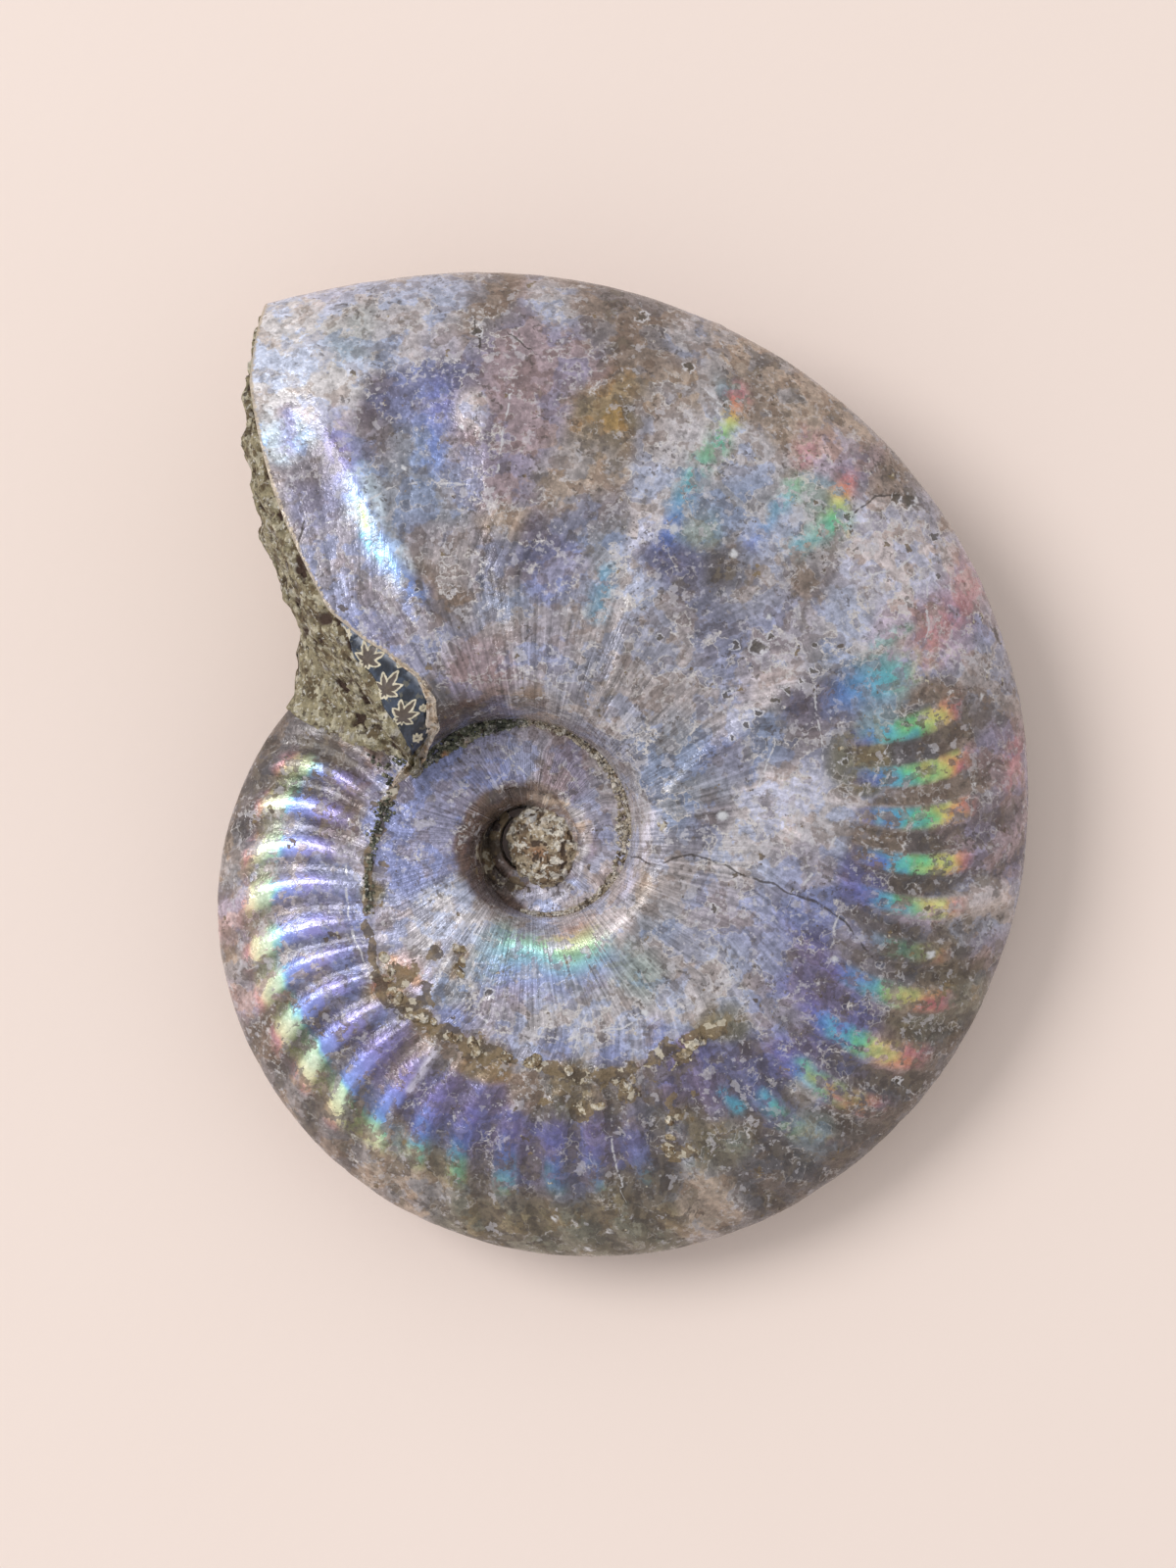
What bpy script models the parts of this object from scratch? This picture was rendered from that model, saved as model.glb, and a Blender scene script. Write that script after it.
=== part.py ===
"""An iridescent ammonite fossil that lies on its flank.

It is one solid. The coiled shell, the sediment that stands out of its broken aperture and the plug of
sediment in its umbilicus set together as one piece of stone.

Units are metres, +Z is up, and the origin is the middle of the fossil's footprint on the surface it lies on.
The coil is worked out about its own axis and then leant over as it comes to rest. Coil angles are in degrees
and count back along the coil: 0 is where the outer shell edge ends, and one turn on is the whorl inside.
"""

import math

import bmesh
import bpy
from mathutils import Matrix, Vector, noise

MM = 0.001
TURN = 360.0

# How the coil grows
APERTURE_BEARING = 116.0
APERTURE_RADIUS = 51.6 * MM
APERTURE_FLARE, FLARE_REACH = 1.0 * MM, 8.0
GROWTH_AT_APERTURE = 0.5 / TURN
GROWTH_IN_YOUTH = 1.16 / TURN
YOUTH = 330.0
HALF_THICKNESS_SHARE = 0.24
SEAM_SHARE_AT_APERTURE = 0.222
SEAM_SHARE_IN_YOUTH = 0.15
UMBILICUS_OFFSET = (-0.2 * MM, 1.0 * MM, 0.0)
UMBILICUS_REACH = 14.0 * MM

# The cross-section of a whorl, by its share of the way from the seam at 0 to the outer edge at 1
SHOULDER = 0.1
FLANK_POWER = 2.2
EDGE_POWER = 0.62

# Ribs on the outer half of the flanks, and the few broad folds in front of them
# Each rib's coil angle where it runs backmost
RIB_CRESTS = (
    90.4, 97.4, 104.3, 110.5, 117.7, 123.9, 130.6, 137.2, 146.0, 154.9, 163.0, 170.5, 178.5, 186.5, 194.4, 202.2,
    211.1, 220.3, 227.8, 235.7, 245.0, 253.2, 261.7, 270.0, 277.5, 288.4, 297.5, 307.6, 317.5, 327.0, 336.0, 345.0,
)
RIB_COUNTS = tuple((crest, count) for count, crest in enumerate(RIB_CRESTS))
RIB_HEIGHT = 0.34 * MM
RIB_HEIGHT_IS_AT = 200.0
RIBS_BEGIN, RIBS_FULL_FROM, RIBS_FULL_TO, RIBS_END = 92.0, 117.0, 325.0, 340.0
RIB_INNER_END, RIB_FULL_FROM, RIB_FULL_TO, RIB_OUTER_END = 0.32, 0.55, 0.92, 1.02
RIB_BACKMOST, RIB_SWEEP = 0.72, 62.0
FOLD_SWEEP, FOLD_SWEEP_REACH = 30.0, 0.08
FOLD_FULL_FROM, FOLD_FULL_TO = 0.2, 0.8
# Each fold's coil angle at mid-flank, its height and its width in degrees
FOLDS = (
    (1.2, 0.5 * MM, 2.5),
    (20.0, 0.30 * MM, 3.0),
    (48.0, 0.30 * MM, 2.6),
    (85.0, 0.55 * MM, 2.4),
)

# The broken aperture: how far each line on the whorl lies ahead of coil angle 0, by its share of the flank
SHELL_EDGE_ABOVE = (
    (0, 27), (0.025, 12.5), (0.075, 7), (0.135, 6.8), (0.19, 9), (0.255, 12), (0.34, 13.7), (0.6, 9.6), (0.84, 5),
    (1, 0),
)
SHELL_EDGE_BELOW = ((0, 27), (0.05, 13), (0.15, 12.5), (0.3, 9), (0.5, 12), (0.75, 5.5), (0.9, 4), (1, 0))
MOULD_EDGE = (
    (0, 30), (0.02, 26), (0.07, 25), (0.12, 22), (0.16, 19), (0.22, 17), (0.28, 15.2), (0.45, 14), (0.7, 8.6), (0.86, 5),
    (1, 0.6),
)
MOULD_STANDS_OUT = 0.6
SHELL_THICKNESS = 0.6 * MM
SHELL_FULL_FROM = 0.05
# The sediment runs on from the mould's edge to the whorl inside, which it meets this far ahead
BREAK_AT_SEAM, BREAK_AT_EDGE, BREAK_AT_EDGE_FROM = 30.0, 35.0, 0.8
BREAK_STEPS = (0.8, 0.6, 0.42, 0.26, 0.12, 0.04)
BREAK_SLOPE, BREAK_CORNER = 0.62, 20
LUMP_HEIGHT = 0.6 * MM
LUMP_SIZE = 4.0 * MM
LUMP_SEED = 7

# The sediment plug in the umbilicus
PLUG_RADIUS = 2.7 * MM
PLUG_LEVEL = 1.3 * MM
PLUG_DOME = 0.6 * MM
PLUG_RING_RADIUS = 1.5 * MM
PLUG_LUMPS = 0.2 * MM

# How the fossil lies, which wears its flank flat where it touches the surface
LEAN_ABOUT_X, LEAN_ABOUT_Y = 5.12, 3.01
AXIS_AT_REST = (-7.68 * MM, -7.53 * MM, 10.67 * MM)

# How finely the solid is faceted. A section has rows of points from the seam to the line where the next whorl
# covers it, and from there to the outer edge.
INNER_ROWS, OUTER_ROWS = 4, 8
INNER_ROW_BUNCHING = 1.8
LAST_ROW = INNER_ROWS + OUTER_ROWS
COVERED_FROM = 0.4
LAST_FREE_SECTION = 318.0
LEAN_TO_RIBS_FROM, LEAN_TO_RIBS_UNTIL = 60.0, 270.0
SECTION_STEPS = ((0.0, RIBS_BEGIN, 4.0), (RIBS_BEGIN, LAST_FREE_SECTION, 1.8))
SECTIONS_TO_BREAK = 4
FRONT_FADE = 24.0
UMBILICAL_STEP = 12.0
SAME_POINT = 0.001 * MM

SHELL_COLOUR = (0.36, 0.34, 0.40, 1)
SHELL_ROUGHNESS = 0.35
SHELL_METALLIC = 0.1


def mix(first, second, share):
    return first + (second - first) * share


def smoothstep(low, high, value):
    """0 below low, 1 above high, and a smooth rise between them."""
    share = min(max((value - low) / (high - low), 0.0), 1.0)
    return share * share * (3 - 2 * share)


def along(points, share):
    """The value at share on straight runs between (share, value) points."""
    for (low, first), (high, second) in zip(points, points[1:]):
        if share <= high:
            return mix(first, second, (share - low) / (high - low))
    return points[-1][1]


def edge_radius(back):
    """The radius of the coil's outer edge. Growth slowed with age, and the shell flares at the aperture."""
    young = min(back, YOUTH)
    slowing = (GROWTH_IN_YOUTH - GROWTH_AT_APERTURE) / (2 * YOUTH)
    grown = GROWTH_AT_APERTURE * young + slowing * young * young + GROWTH_IN_YOUTH * (back - young)
    return APERTURE_RADIUS * math.exp(-grown) + APERTURE_FLARE * math.exp(-max(back, 0.0) / FLARE_REACH)


def seam_radius(back):
    """The radius of the line where the whorl meets the one inside it or, in the middle, the plug."""
    youth = min(max(back / YOUTH, 0.0), 1.0)
    share = mix(SEAM_SHARE_AT_APERTURE, SEAM_SHARE_IN_YOUTH, youth)
    return max(share * edge_radius(back), PLUG_RADIUS)


def covered_share(back):
    """Where on the whorl's flank the next whorl's seam lies."""
    seam = seam_radius(back)
    return (seam_radius(back - TURN) - seam) / (edge_radius(back) - seam)


def rib_lean(share):
    """How far a rib runs ahead of its backmost point at this share, in degrees."""
    return RIB_SWEEP * (max(share, RIB_INNER_END) - RIB_BACKMOST) ** 2


def rib_relief(back, share):
    turn = along(RIB_COUNTS, back + rib_lean(share))
    across = smoothstep(RIB_INNER_END, RIB_FULL_FROM, share) * smoothstep(RIB_OUTER_END, RIB_FULL_TO, share)
    where = smoothstep(RIBS_BEGIN, RIBS_FULL_FROM, back) * smoothstep(RIBS_END, RIBS_FULL_TO, back)
    size = edge_radius(back) / edge_radius(RIB_HEIGHT_IS_AT)
    return RIB_HEIGHT * size * across * where * math.cos(math.tau * turn)


def fold_relief(back, share):
    """The height of the broad folds, which sweep back near the seam."""
    swept = back - FOLD_SWEEP * math.exp(-share / FOLD_SWEEP_REACH)
    across = smoothstep(0.0, FOLD_FULL_FROM, share) * smoothstep(1.0, FOLD_FULL_TO, share)
    return across * sum(
        height * math.exp(-(((swept - middle) / width) ** 2)) for middle, height, width in FOLDS
    )


def foot_height(back):
    """How high over the middle plane the whorl's seam lies: on the whorl inside it, or on the plug."""
    if back > TURN - BREAK_AT_SEAM:
        return PLUG_LEVEL
    return surface_height(back + TURN, covered_share(back + TURN))


def surface_height(back, share):
    """How high the whorl's surface is over the middle plane."""
    half = HALF_THICKNESS_SHARE * edge_radius(back)
    flank = half * max(1 - share**FLANK_POWER, 0.0) ** EDGE_POWER
    relief = rib_relief(back, share) + fold_relief(back, share)
    height = max(flank + relief, 0.0) if share < 1 else 0.0
    if share >= SHOULDER:
        return height
    foot = foot_height(back)
    return mix(foot, height, math.sqrt(1 - (1 - share / SHOULDER) ** 2))


def section_point(back, share, side, sunk=0.0):
    """The coil angle, radius and height of a point on the whorl, or of one sunk into the shell there."""
    seam, edge = seam_radius(back), edge_radius(back)
    sunk = sunk * smoothstep(0.0, SHELL_FULL_FROM, share)
    height = max(surface_height(back, share) - sunk, 0.0)
    return back, mix(seam, edge, share) - sunk * share, side * height


def placed(back, radius, height):
    """The point at this coil angle, distance from the coil's axis and height over its middle plane."""
    bearing = math.radians(APERTURE_BEARING - back)
    offset = math.exp(-((radius / UMBILICUS_REACH) ** 2))
    flat = Vector((radius * math.cos(bearing), radius * math.sin(bearing), height))
    return flat + offset * Vector(UMBILICUS_OFFSET)


def row_share(row, covered):
    """The share of the flank at a row of points. Rows close up at the umbilical wall and the outer edge."""
    if row <= INNER_ROWS:
        return covered * (row / INNER_ROWS) ** INNER_ROW_BUNCHING
    return mix(covered, 1.0, math.sin((row - INNER_ROWS) / OUTER_ROWS * math.pi / 2))


def shell_edge(share, side):
    return along(SHELL_EDGE_ABOVE if side > 0 else SHELL_EDGE_BELOW, share)


def mould_edge(share, side):
    return max(along(MOULD_EDGE, share), shell_edge(share, side) + MOULD_STANDS_OUT)


def section_path():
    """The (row, side) places of a section, from the upper seam round the outer edge to the lower seam."""
    return [(row, 1) for row in range(LAST_ROW + 1)] + [(row, -1) for row in range(LAST_ROW - 1, -1, -1)]


def section(back_at, sunk=0.0):
    """A section of the shell whose coil angle is back_at(share, side)."""
    points = {}
    for row, side in section_path():
        share = row_share(row, COVERED_FROM)
        points[row, side] = section_point(back_at(share, side), share, side, sunk)
    return points


def break_line():
    """The section of the whorl inside along which the sediment's broken face meets it."""
    points = {}
    for row, side in section_path():
        outwards = smoothstep(COVERED_FROM, BREAK_AT_EDGE_FROM, row_share(row, COVERED_FROM))
        back = TURN - mix(BREAK_AT_SEAM, BREAK_AT_EDGE, outwards)
        points[row, side] = section_point(back, row_share(row, covered_share(back)), side)
    return points


def leaning(back):
    """Sections lean to run along the broken edge near it, and along the ribs where there are ribs."""
    to_edge = smoothstep(FRONT_FADE, 0.0, back)
    to_ribs = smoothstep(LEAN_TO_RIBS_FROM, RIBS_BEGIN, back)
    to_ribs *= smoothstep(LAST_FREE_SECTION, LEAN_TO_RIBS_UNTIL, back)
    return lambda share, side: back - to_edge * shell_edge(share, side) - to_ribs * rib_lean(share)


def shell_sections():
    """The shell, from its broken edge to the line a turn inside where it goes under the break."""
    yield section(lambda share, side: -shell_edge(share, side))
    for begin, end, step in SECTION_STEPS:
        count = round((end - begin) / step)
        for index in range(count):
            yield section(leaning(mix(begin, end, (index + 0.5) / count)))
    met = break_line()
    for index in range(SECTIONS_TO_BREAK):
        part = index / SECTIONS_TO_BREAK
        points = {}
        for (row, side), (back, _, _) in met.items():
            share = mix(row_share(row, COVERED_FROM), row_share(row, covered_share(back)), part)
            points[row, side] = section_point(mix(LAST_FREE_SECTION, back, part), share, side)
        yield points
    yield met


def break_sections(mould):
    """The rough face of the sediment, from the mould's edge inwards to the whorl inside."""
    met = break_line()
    for out in BREAK_STEPS:
        inwards = BREAK_SLOPE * (1 - out) + (1 - BREAK_SLOPE) * (1 - out) ** BREAK_CORNER
        points = {}
        for (row, side), (back, radius, height) in mould.items():
            met_row = INNER_ROWS + OUTER_ROWS * row / LAST_ROW
            low = min(int(met_row), LAST_ROW - 1)
            ends = met[low, side], met.get((low + 1, side), met[LAST_ROW, 1])
            met_back, met_radius, met_height = (mix(*pair, met_row - low) for pair in zip(*ends))
            points[row, side] = (
                mix(back, met_back - TURN, inwards),
                mix(met_radius, radius, out),
                mix(met_height, height, out),
            )
        yield points


def lumpy(point, height):
    return point + height * noise.noise_vector(point / LUMP_SIZE)


def stitch(bm, first, second):
    """Triangles between two runs of vertices, which may differ in number and share an end."""
    here, there = 0, 0
    while here < len(first) - 1 or there < len(second) - 1:
        corners = [first[here], second[there]]
        if (here + 1) * (len(second) - 1) <= (there + 1) * (len(first) - 1):
            here += 1
            corners.append(first[here])
        else:
            there += 1
            corners.append(second[there])
        if len(set(corners)) == 3:
            bm.faces.new(corners)


def add_section(bm, points, lumps=0.0):
    return {spot: bm.verts.new(lumpy(placed(*point), lumps)) for spot, point in points.items()}


def loft(bm, sections):
    for ahead, behind in zip(sections, sections[1:]):
        stitch(bm, list(ahead.values()), list(behind.values()))


def add_plug(bm, rim, step, side):
    """The domed top of the sediment in the umbilicus, inside a rim that ends with a step outwards."""
    ring = []
    for index in range(len(rim) - 1):
        back = TURN * (index / (len(rim) - 1)) - BREAK_AT_SEAM
        level = side * (PLUG_LEVEL + PLUG_DOME / 2)
        ring.append(bm.verts.new(lumpy(placed(back, PLUG_RING_RADIUS, level), PLUG_LUMPS)))
    centre = bm.verts.new(placed(0, 0, side * (PLUG_LEVEL + PLUG_DOME)))
    stitch(bm, rim[-1:] + step + rim, ring + ring[:1])
    stitch(bm, ring + ring[:1], [centre])


def add_umbilicus(bm, side, seam, column):
    """What is seen inside the seam on one side: the whorls there, and the plug.

    seam holds (coil angle on the whorl inside, vertex), and column is that whorl's first one, from its foot.
    """
    rim, start = column[:1], 0
    for stop, (back, _) in enumerate(seam):
        if back < seam[start][0] + UMBILICAL_STEP and stop < len(seam) - 1:
            continue
        shares = [row_share(row, covered_share(back)) for row in range(INNER_ROWS)]
        ahead = [bm.verts.new(placed(*section_point(back, share, side))) for share in shares]
        stitch(bm, column, ahead)
        stitch(bm, (column[-1], ahead[-1]), [vertex for _, vertex in seam[start : stop + 1]])
        rim.append(ahead[0])
        column, start = ahead, stop
    add_plug(bm, rim, column[1:], side)


def replace(bm, ring, spot, vertex):
    bm.verts.remove(ring[spot])
    ring[spot] = vertex


def add_broken_end(bm, shell_end, met):
    """The end of the shell wall, the mould that stands out from under it, and the rough face."""
    sunk = section(lambda share, side: -shell_edge(share, side), SHELL_THICKNESS)
    mould = section(lambda share, side: -mould_edge(share, side), SHELL_THICKNESS)
    sunk_ring, mould_ring = add_section(bm, sunk), add_section(bm, mould)
    rough = [add_section(bm, points, LUMP_HEIGHT) for points in break_sections(mould)]
    for side in (1, -1):
        replace(bm, sunk_ring, (0, side), shell_end[0, side])
        for ring in (mould_ring, *rough):
            replace(bm, ring, (0, side), met[INNER_ROWS, side])
    loft(bm, [shell_end, sunk_ring, mould_ring, *rough])
    met_line = [met[spot] for spot in section_path() if spot[0] >= INNER_ROWS]
    stitch(bm, list(rough[-1].values()), met_line)


def add_coil(bm):
    shell_points = list(shell_sections())
    shell = [add_section(bm, points) for points in shell_points]
    loft(bm, shell)
    met = shell[-1]
    add_broken_end(bm, shell[0], met)
    for side in (1, -1):
        seam = [(shell_points[-1][INNER_ROWS, side][0], met[INNER_ROWS, side])]
        seam += [(points[0, side][0] + TURN, made[0, side]) for points, made in zip(shell_points, shell)]
        add_umbilicus(bm, side, seam, [met[row, side] for row in range(INNER_ROWS)])


def lay_down(bm):
    """Lean the coil as it lies, and wear flat what touches the surface."""
    about_x = Matrix.Rotation(math.radians(LEAN_ABOUT_X), 4, "X")
    about_y = Matrix.Rotation(math.radians(LEAN_ABOUT_Y), 4, "Y")
    bmesh.ops.transform(bm, matrix=Matrix.Translation(AXIS_AT_REST) @ about_y @ about_x, verts=bm.verts)
    whole = [*bm.verts, *bm.edges, *bm.faces]
    cut = bmesh.ops.bisect_plane(bm, geom=whole, dist=SAME_POINT, plane_no=(0, 0, -1), clear_outer=True)
    rims = [edge for edge in cut["geom_cut"] if isinstance(edge, bmesh.types.BMEdge)]
    bmesh.ops.holes_fill(bm, edges=rims)


def ammonite_mesh():
    bm = bmesh.new()
    add_coil(bm)
    bmesh.ops.recalc_face_normals(bm, faces=bm.faces)
    lay_down(bm)
    bmesh.ops.triangulate(bm, faces=bm.faces)
    mesh = bpy.data.meshes.new("ammonite")
    bm.to_mesh(mesh)
    bm.free()
    mesh.shade_smooth()
    return mesh


def shell_material():
    material = bpy.data.materials.new("iridescent_shell")
    material.use_nodes = True
    shader = material.node_tree.nodes["Principled BSDF"]
    shader.inputs["Base Color"].default_value = SHELL_COLOUR
    shader.inputs["Roughness"].default_value = SHELL_ROUGHNESS
    shader.inputs["Metallic"].default_value = SHELL_METALLIC
    return material


def main():
    for obj in list(bpy.data.objects):
        bpy.data.objects.remove(obj)
    noise.seed_set(LUMP_SEED)
    fossil = bpy.data.collections.new("ammonite_fossil")
    bpy.context.scene.collection.children.link(fossil)
    ammonite = bpy.data.objects.new("ammonite", ammonite_mesh())
    ammonite.data.materials.append(shell_material())
    fossil.objects.link(ammonite)


main()
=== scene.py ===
"""The looks of an iridescent ammonite fossil that lies on its flank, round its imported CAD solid.

The coil is worked out in millimetres about its own axis, as the solid is, and is laid down at the end.
Coil angles are in degrees and count back along the coil: 0 is where the outer shell edge ends, and one turn
on is the whorl inside. The flank's markings are placed on a flat chart of it, as seen along its axis.
"""

import math

import bpy
import numpy as np
from mathutils import Matrix, Vector, noise


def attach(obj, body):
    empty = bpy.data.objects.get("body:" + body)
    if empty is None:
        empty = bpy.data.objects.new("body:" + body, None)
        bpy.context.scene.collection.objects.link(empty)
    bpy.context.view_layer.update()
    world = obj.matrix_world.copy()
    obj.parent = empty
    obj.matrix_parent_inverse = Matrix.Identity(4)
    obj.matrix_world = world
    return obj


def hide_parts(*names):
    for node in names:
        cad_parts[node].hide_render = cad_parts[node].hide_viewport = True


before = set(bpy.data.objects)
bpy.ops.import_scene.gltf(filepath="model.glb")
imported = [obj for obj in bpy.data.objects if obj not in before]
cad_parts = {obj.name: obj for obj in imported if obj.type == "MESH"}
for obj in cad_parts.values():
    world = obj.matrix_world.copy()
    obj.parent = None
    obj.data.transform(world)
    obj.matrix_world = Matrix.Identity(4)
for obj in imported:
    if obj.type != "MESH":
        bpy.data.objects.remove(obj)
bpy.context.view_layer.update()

MM = 0.001
TURN = 360.0
SEED = 7

# How the coil grows, as in the solid
APERTURE_BEARING = 116.0
APERTURE_RADIUS = 51.6
APERTURE_FLARE, FLARE_REACH = 1.0, 8.0
GROWTH_AT_APERTURE, GROWTH_IN_YOUTH = 0.5 / TURN, 1.16 / TURN
YOUTH = 330.0
HALF_THICKNESS_SHARE = 0.24
SEAM_SHARE_AT_APERTURE, SEAM_SHARE_IN_YOUTH = 0.222, 0.15
UMBILICUS_OFFSET, UMBILICUS_REACH = (-0.2, 1.0, 0.0), 14.0
SHOULDER, FLANK_POWER, EDGE_POWER = 0.1, 2.2, 0.62
RIB_CRESTS = (
    90.4, 97.4, 104.3, 110.5, 117.7, 123.9, 130.6, 137.2, 146.0, 154.9, 163.0, 170.5, 178.5, 186.5, 194.4,
    202.2, 211.1, 220.3, 227.8, 235.7, 245.0, 253.2, 261.7, 270.0, 277.5, 288.4, 297.5, 307.6, 317.5, 327.0,
    336.0, 345.0,
)
RIB_HEIGHT, RIB_HEIGHT_IS_AT = 0.34, 200.0
RIBS_BEGIN, RIBS_FULL_FROM, RIBS_FULL_TO, RIBS_END = 92.0, 117.0, 325.0, 340.0
RIB_INNER_END, RIB_FULL_FROM, RIB_FULL_TO, RIB_OUTER_END = 0.32, 0.55, 0.92, 1.02
RIB_BACKMOST, RIB_SWEEP = 0.72, 62.0
FOLD_SWEEP, FOLD_SWEEP_REACH = 30.0, 0.08
FOLD_FULL_FROM, FOLD_FULL_TO = 0.2, 0.8
FOLDS = ((1.2, 0.5, 2.5), (20.0, 0.30, 3.0), (48.0, 0.30, 2.6), (85.0, 0.55, 2.4))
SHELL_EDGE_ABOVE = (
    (0, 27), (0.025, 12.5), (0.075, 7), (0.135, 6.8), (0.19, 9), (0.255, 12), (0.34, 13.7), (0.6, 9.6),
    (0.84, 5), (1, 0),
)
SHELL_EDGE_BELOW = ((0, 27), (0.05, 13), (0.15, 12.5), (0.3, 9), (0.5, 12), (0.75, 5.5), (0.9, 4), (1, 0))
MOULD_EDGE = (
    (0, 30), (0.02, 26), (0.07, 25), (0.12, 22), (0.16, 19), (0.22, 17), (0.28, 15.2), (0.45, 14),
    (0.7, 8.6), (0.86, 5), (1, 0.6),
)
MOULD_STANDS_OUT = 0.6
SHELL_THICKNESS, SHELL_FULL_FROM = 0.6, 0.05
BREAK_AT_SEAM, BREAK_AT_EDGE, BREAK_AT_EDGE_FROM = 30.0, 35.0, 0.8
BREAK_SLOPE, BREAK_CORNER = 0.62, 20
COVERED_FROM = 0.4
PLUG_RADIUS, PLUG_LEVEL = 2.7, 1.3
LEAN_TO_RIBS_FROM, LEAN_TO_RIBS_UNTIL, LAST_FREE_SECTION = 60.0, 270.0, 318.0
FRONT_FADE = 24.0
LEAN_ABOUT_X, LEAN_ABOUT_Y = 5.12, 3.01
AXIS_AT_REST = (-7.68, -7.53, 10.67)

# How finely the shell is made, in millimetres between sections at coil angles, and in rows
COIL_ENDS_AT = 706.0
SECTION_PACE = ((0, 0.25), (FRONT_FADE, 0.27), (30, 0.47), (318, 0.47), (370, 0.85), (710, 0.85))
ROWS_ABOVE, ROWS_BELOW = 100, 42
TYPICAL_SECTION = 100.0
INNER_WALL = (0.5, 0.0, -0.5)

# The camera looks along the coil's axis from this far over the middle plane
CAMERA_AWAY = 280.0
CAMERA_ACROSS = (4.642, 5.908)
SENSOR, LENS = 36.0, 74.65
# The underside's chart is the upper side's, turned by this much
UNDERSIDE_TURN = -50.0

# The light's place, size and power, the room's brightness and the floor's size, in metres and watts
KEY_AT, KEY_SIZE, KEY_POWER = (-1.02, 0.42, 1.25), 0.9, 13.5
ROOM_STRENGTH, FLOOR_SIZE = 0.66, 1.6

# Kinds of sediment: low, middle and high tone, the painted shade in hollows, and the size of lumps in
# millimetres
SEDIMENTS = {
    "grainy_sediment": ((98, 84, 62), (142, 132, 106), (172, 164, 142), (66, 48, 38), 0.4),
    "broken_shell": ((150, 126, 104), (188, 166, 142), (206, 190, 172), (80, 64, 52), 0.4),
    "dark_sediment": ((58, 60, 52), (92, 94, 78), (128, 126, 108), (40, 38, 32), 0.3),
    "pale_sediment": ((128, 114, 94), (172, 160, 142), (206, 198, 186), (84, 70, 56), 0.3),
    "ochre_sediment": ((112, 94, 72), (154, 138, 112), (196, 186, 168), (84, 68, 52), 0.3),
    "beige_fill": ((118, 98, 76), (166, 150, 126), (212, 204, 190), (78, 62, 50), 0.35),
}

# How finely the sheets are made, across and down, and how thick they are in millimetres
BREAK_GRID, MOULD_GRID, LIP_GRID = (300, 170), (180, 90), (110, 14)
BREAK_SKIN, MOULD_SKIN, LIP_SKIN = 0.8, 0.3, 0.25
# The sediment and the shell's own inside are tucked back under the shell's edge by degrees and millimetres
TUCKED_BACK, TUCKED_UNDER = 4.0, 0.2
# How far the cast is raised over the sediment
MOULD_RAISED = 0.16

# Crumbs are modelled more finely where there are fewer than this. They are turned by up to about a whole
# turn, in radians, and none is flatter than this share of its size
FEW_CRUMBS, ANY_TURN, FLATTEST = 120, 6.28, 0.3

# The size of an unshaped primitive in metres, and the finest grain of a finish in millimetres
ROUGH_SIZE, FINEST_GRAIN = 0.02, 0.13

# Colours, as red, green and blue out of 255
PALETTE = {
    "white": (200, 202, 212),
    "pearl": (188, 183, 192),
    "pale": (170, 170, 181),
    # Pale blue for a painted highlight
    "ice_highlight": (190, 210, 232),
    "lavender": (152, 151, 170),
    "periwinkle": (132, 135, 168),
    "steel": (132, 139, 156),
    "sea": (132, 147, 150),
    "violet": (112, 107, 146),
    "indigo": (102, 98, 118),
    "slate": (122, 119, 132),
    "mauve": (142, 129, 141),
    "grey": (148, 144, 151),
    "pink": (180, 160, 166),
    "beige": (158, 146, 138),
    "taupe": (124, 112, 106),
    "olive": (122, 114, 94),
    "ochre": (146, 122, 88),
    "umber": (96, 88, 86),
    "shadow": (92, 78, 72),
}
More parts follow.
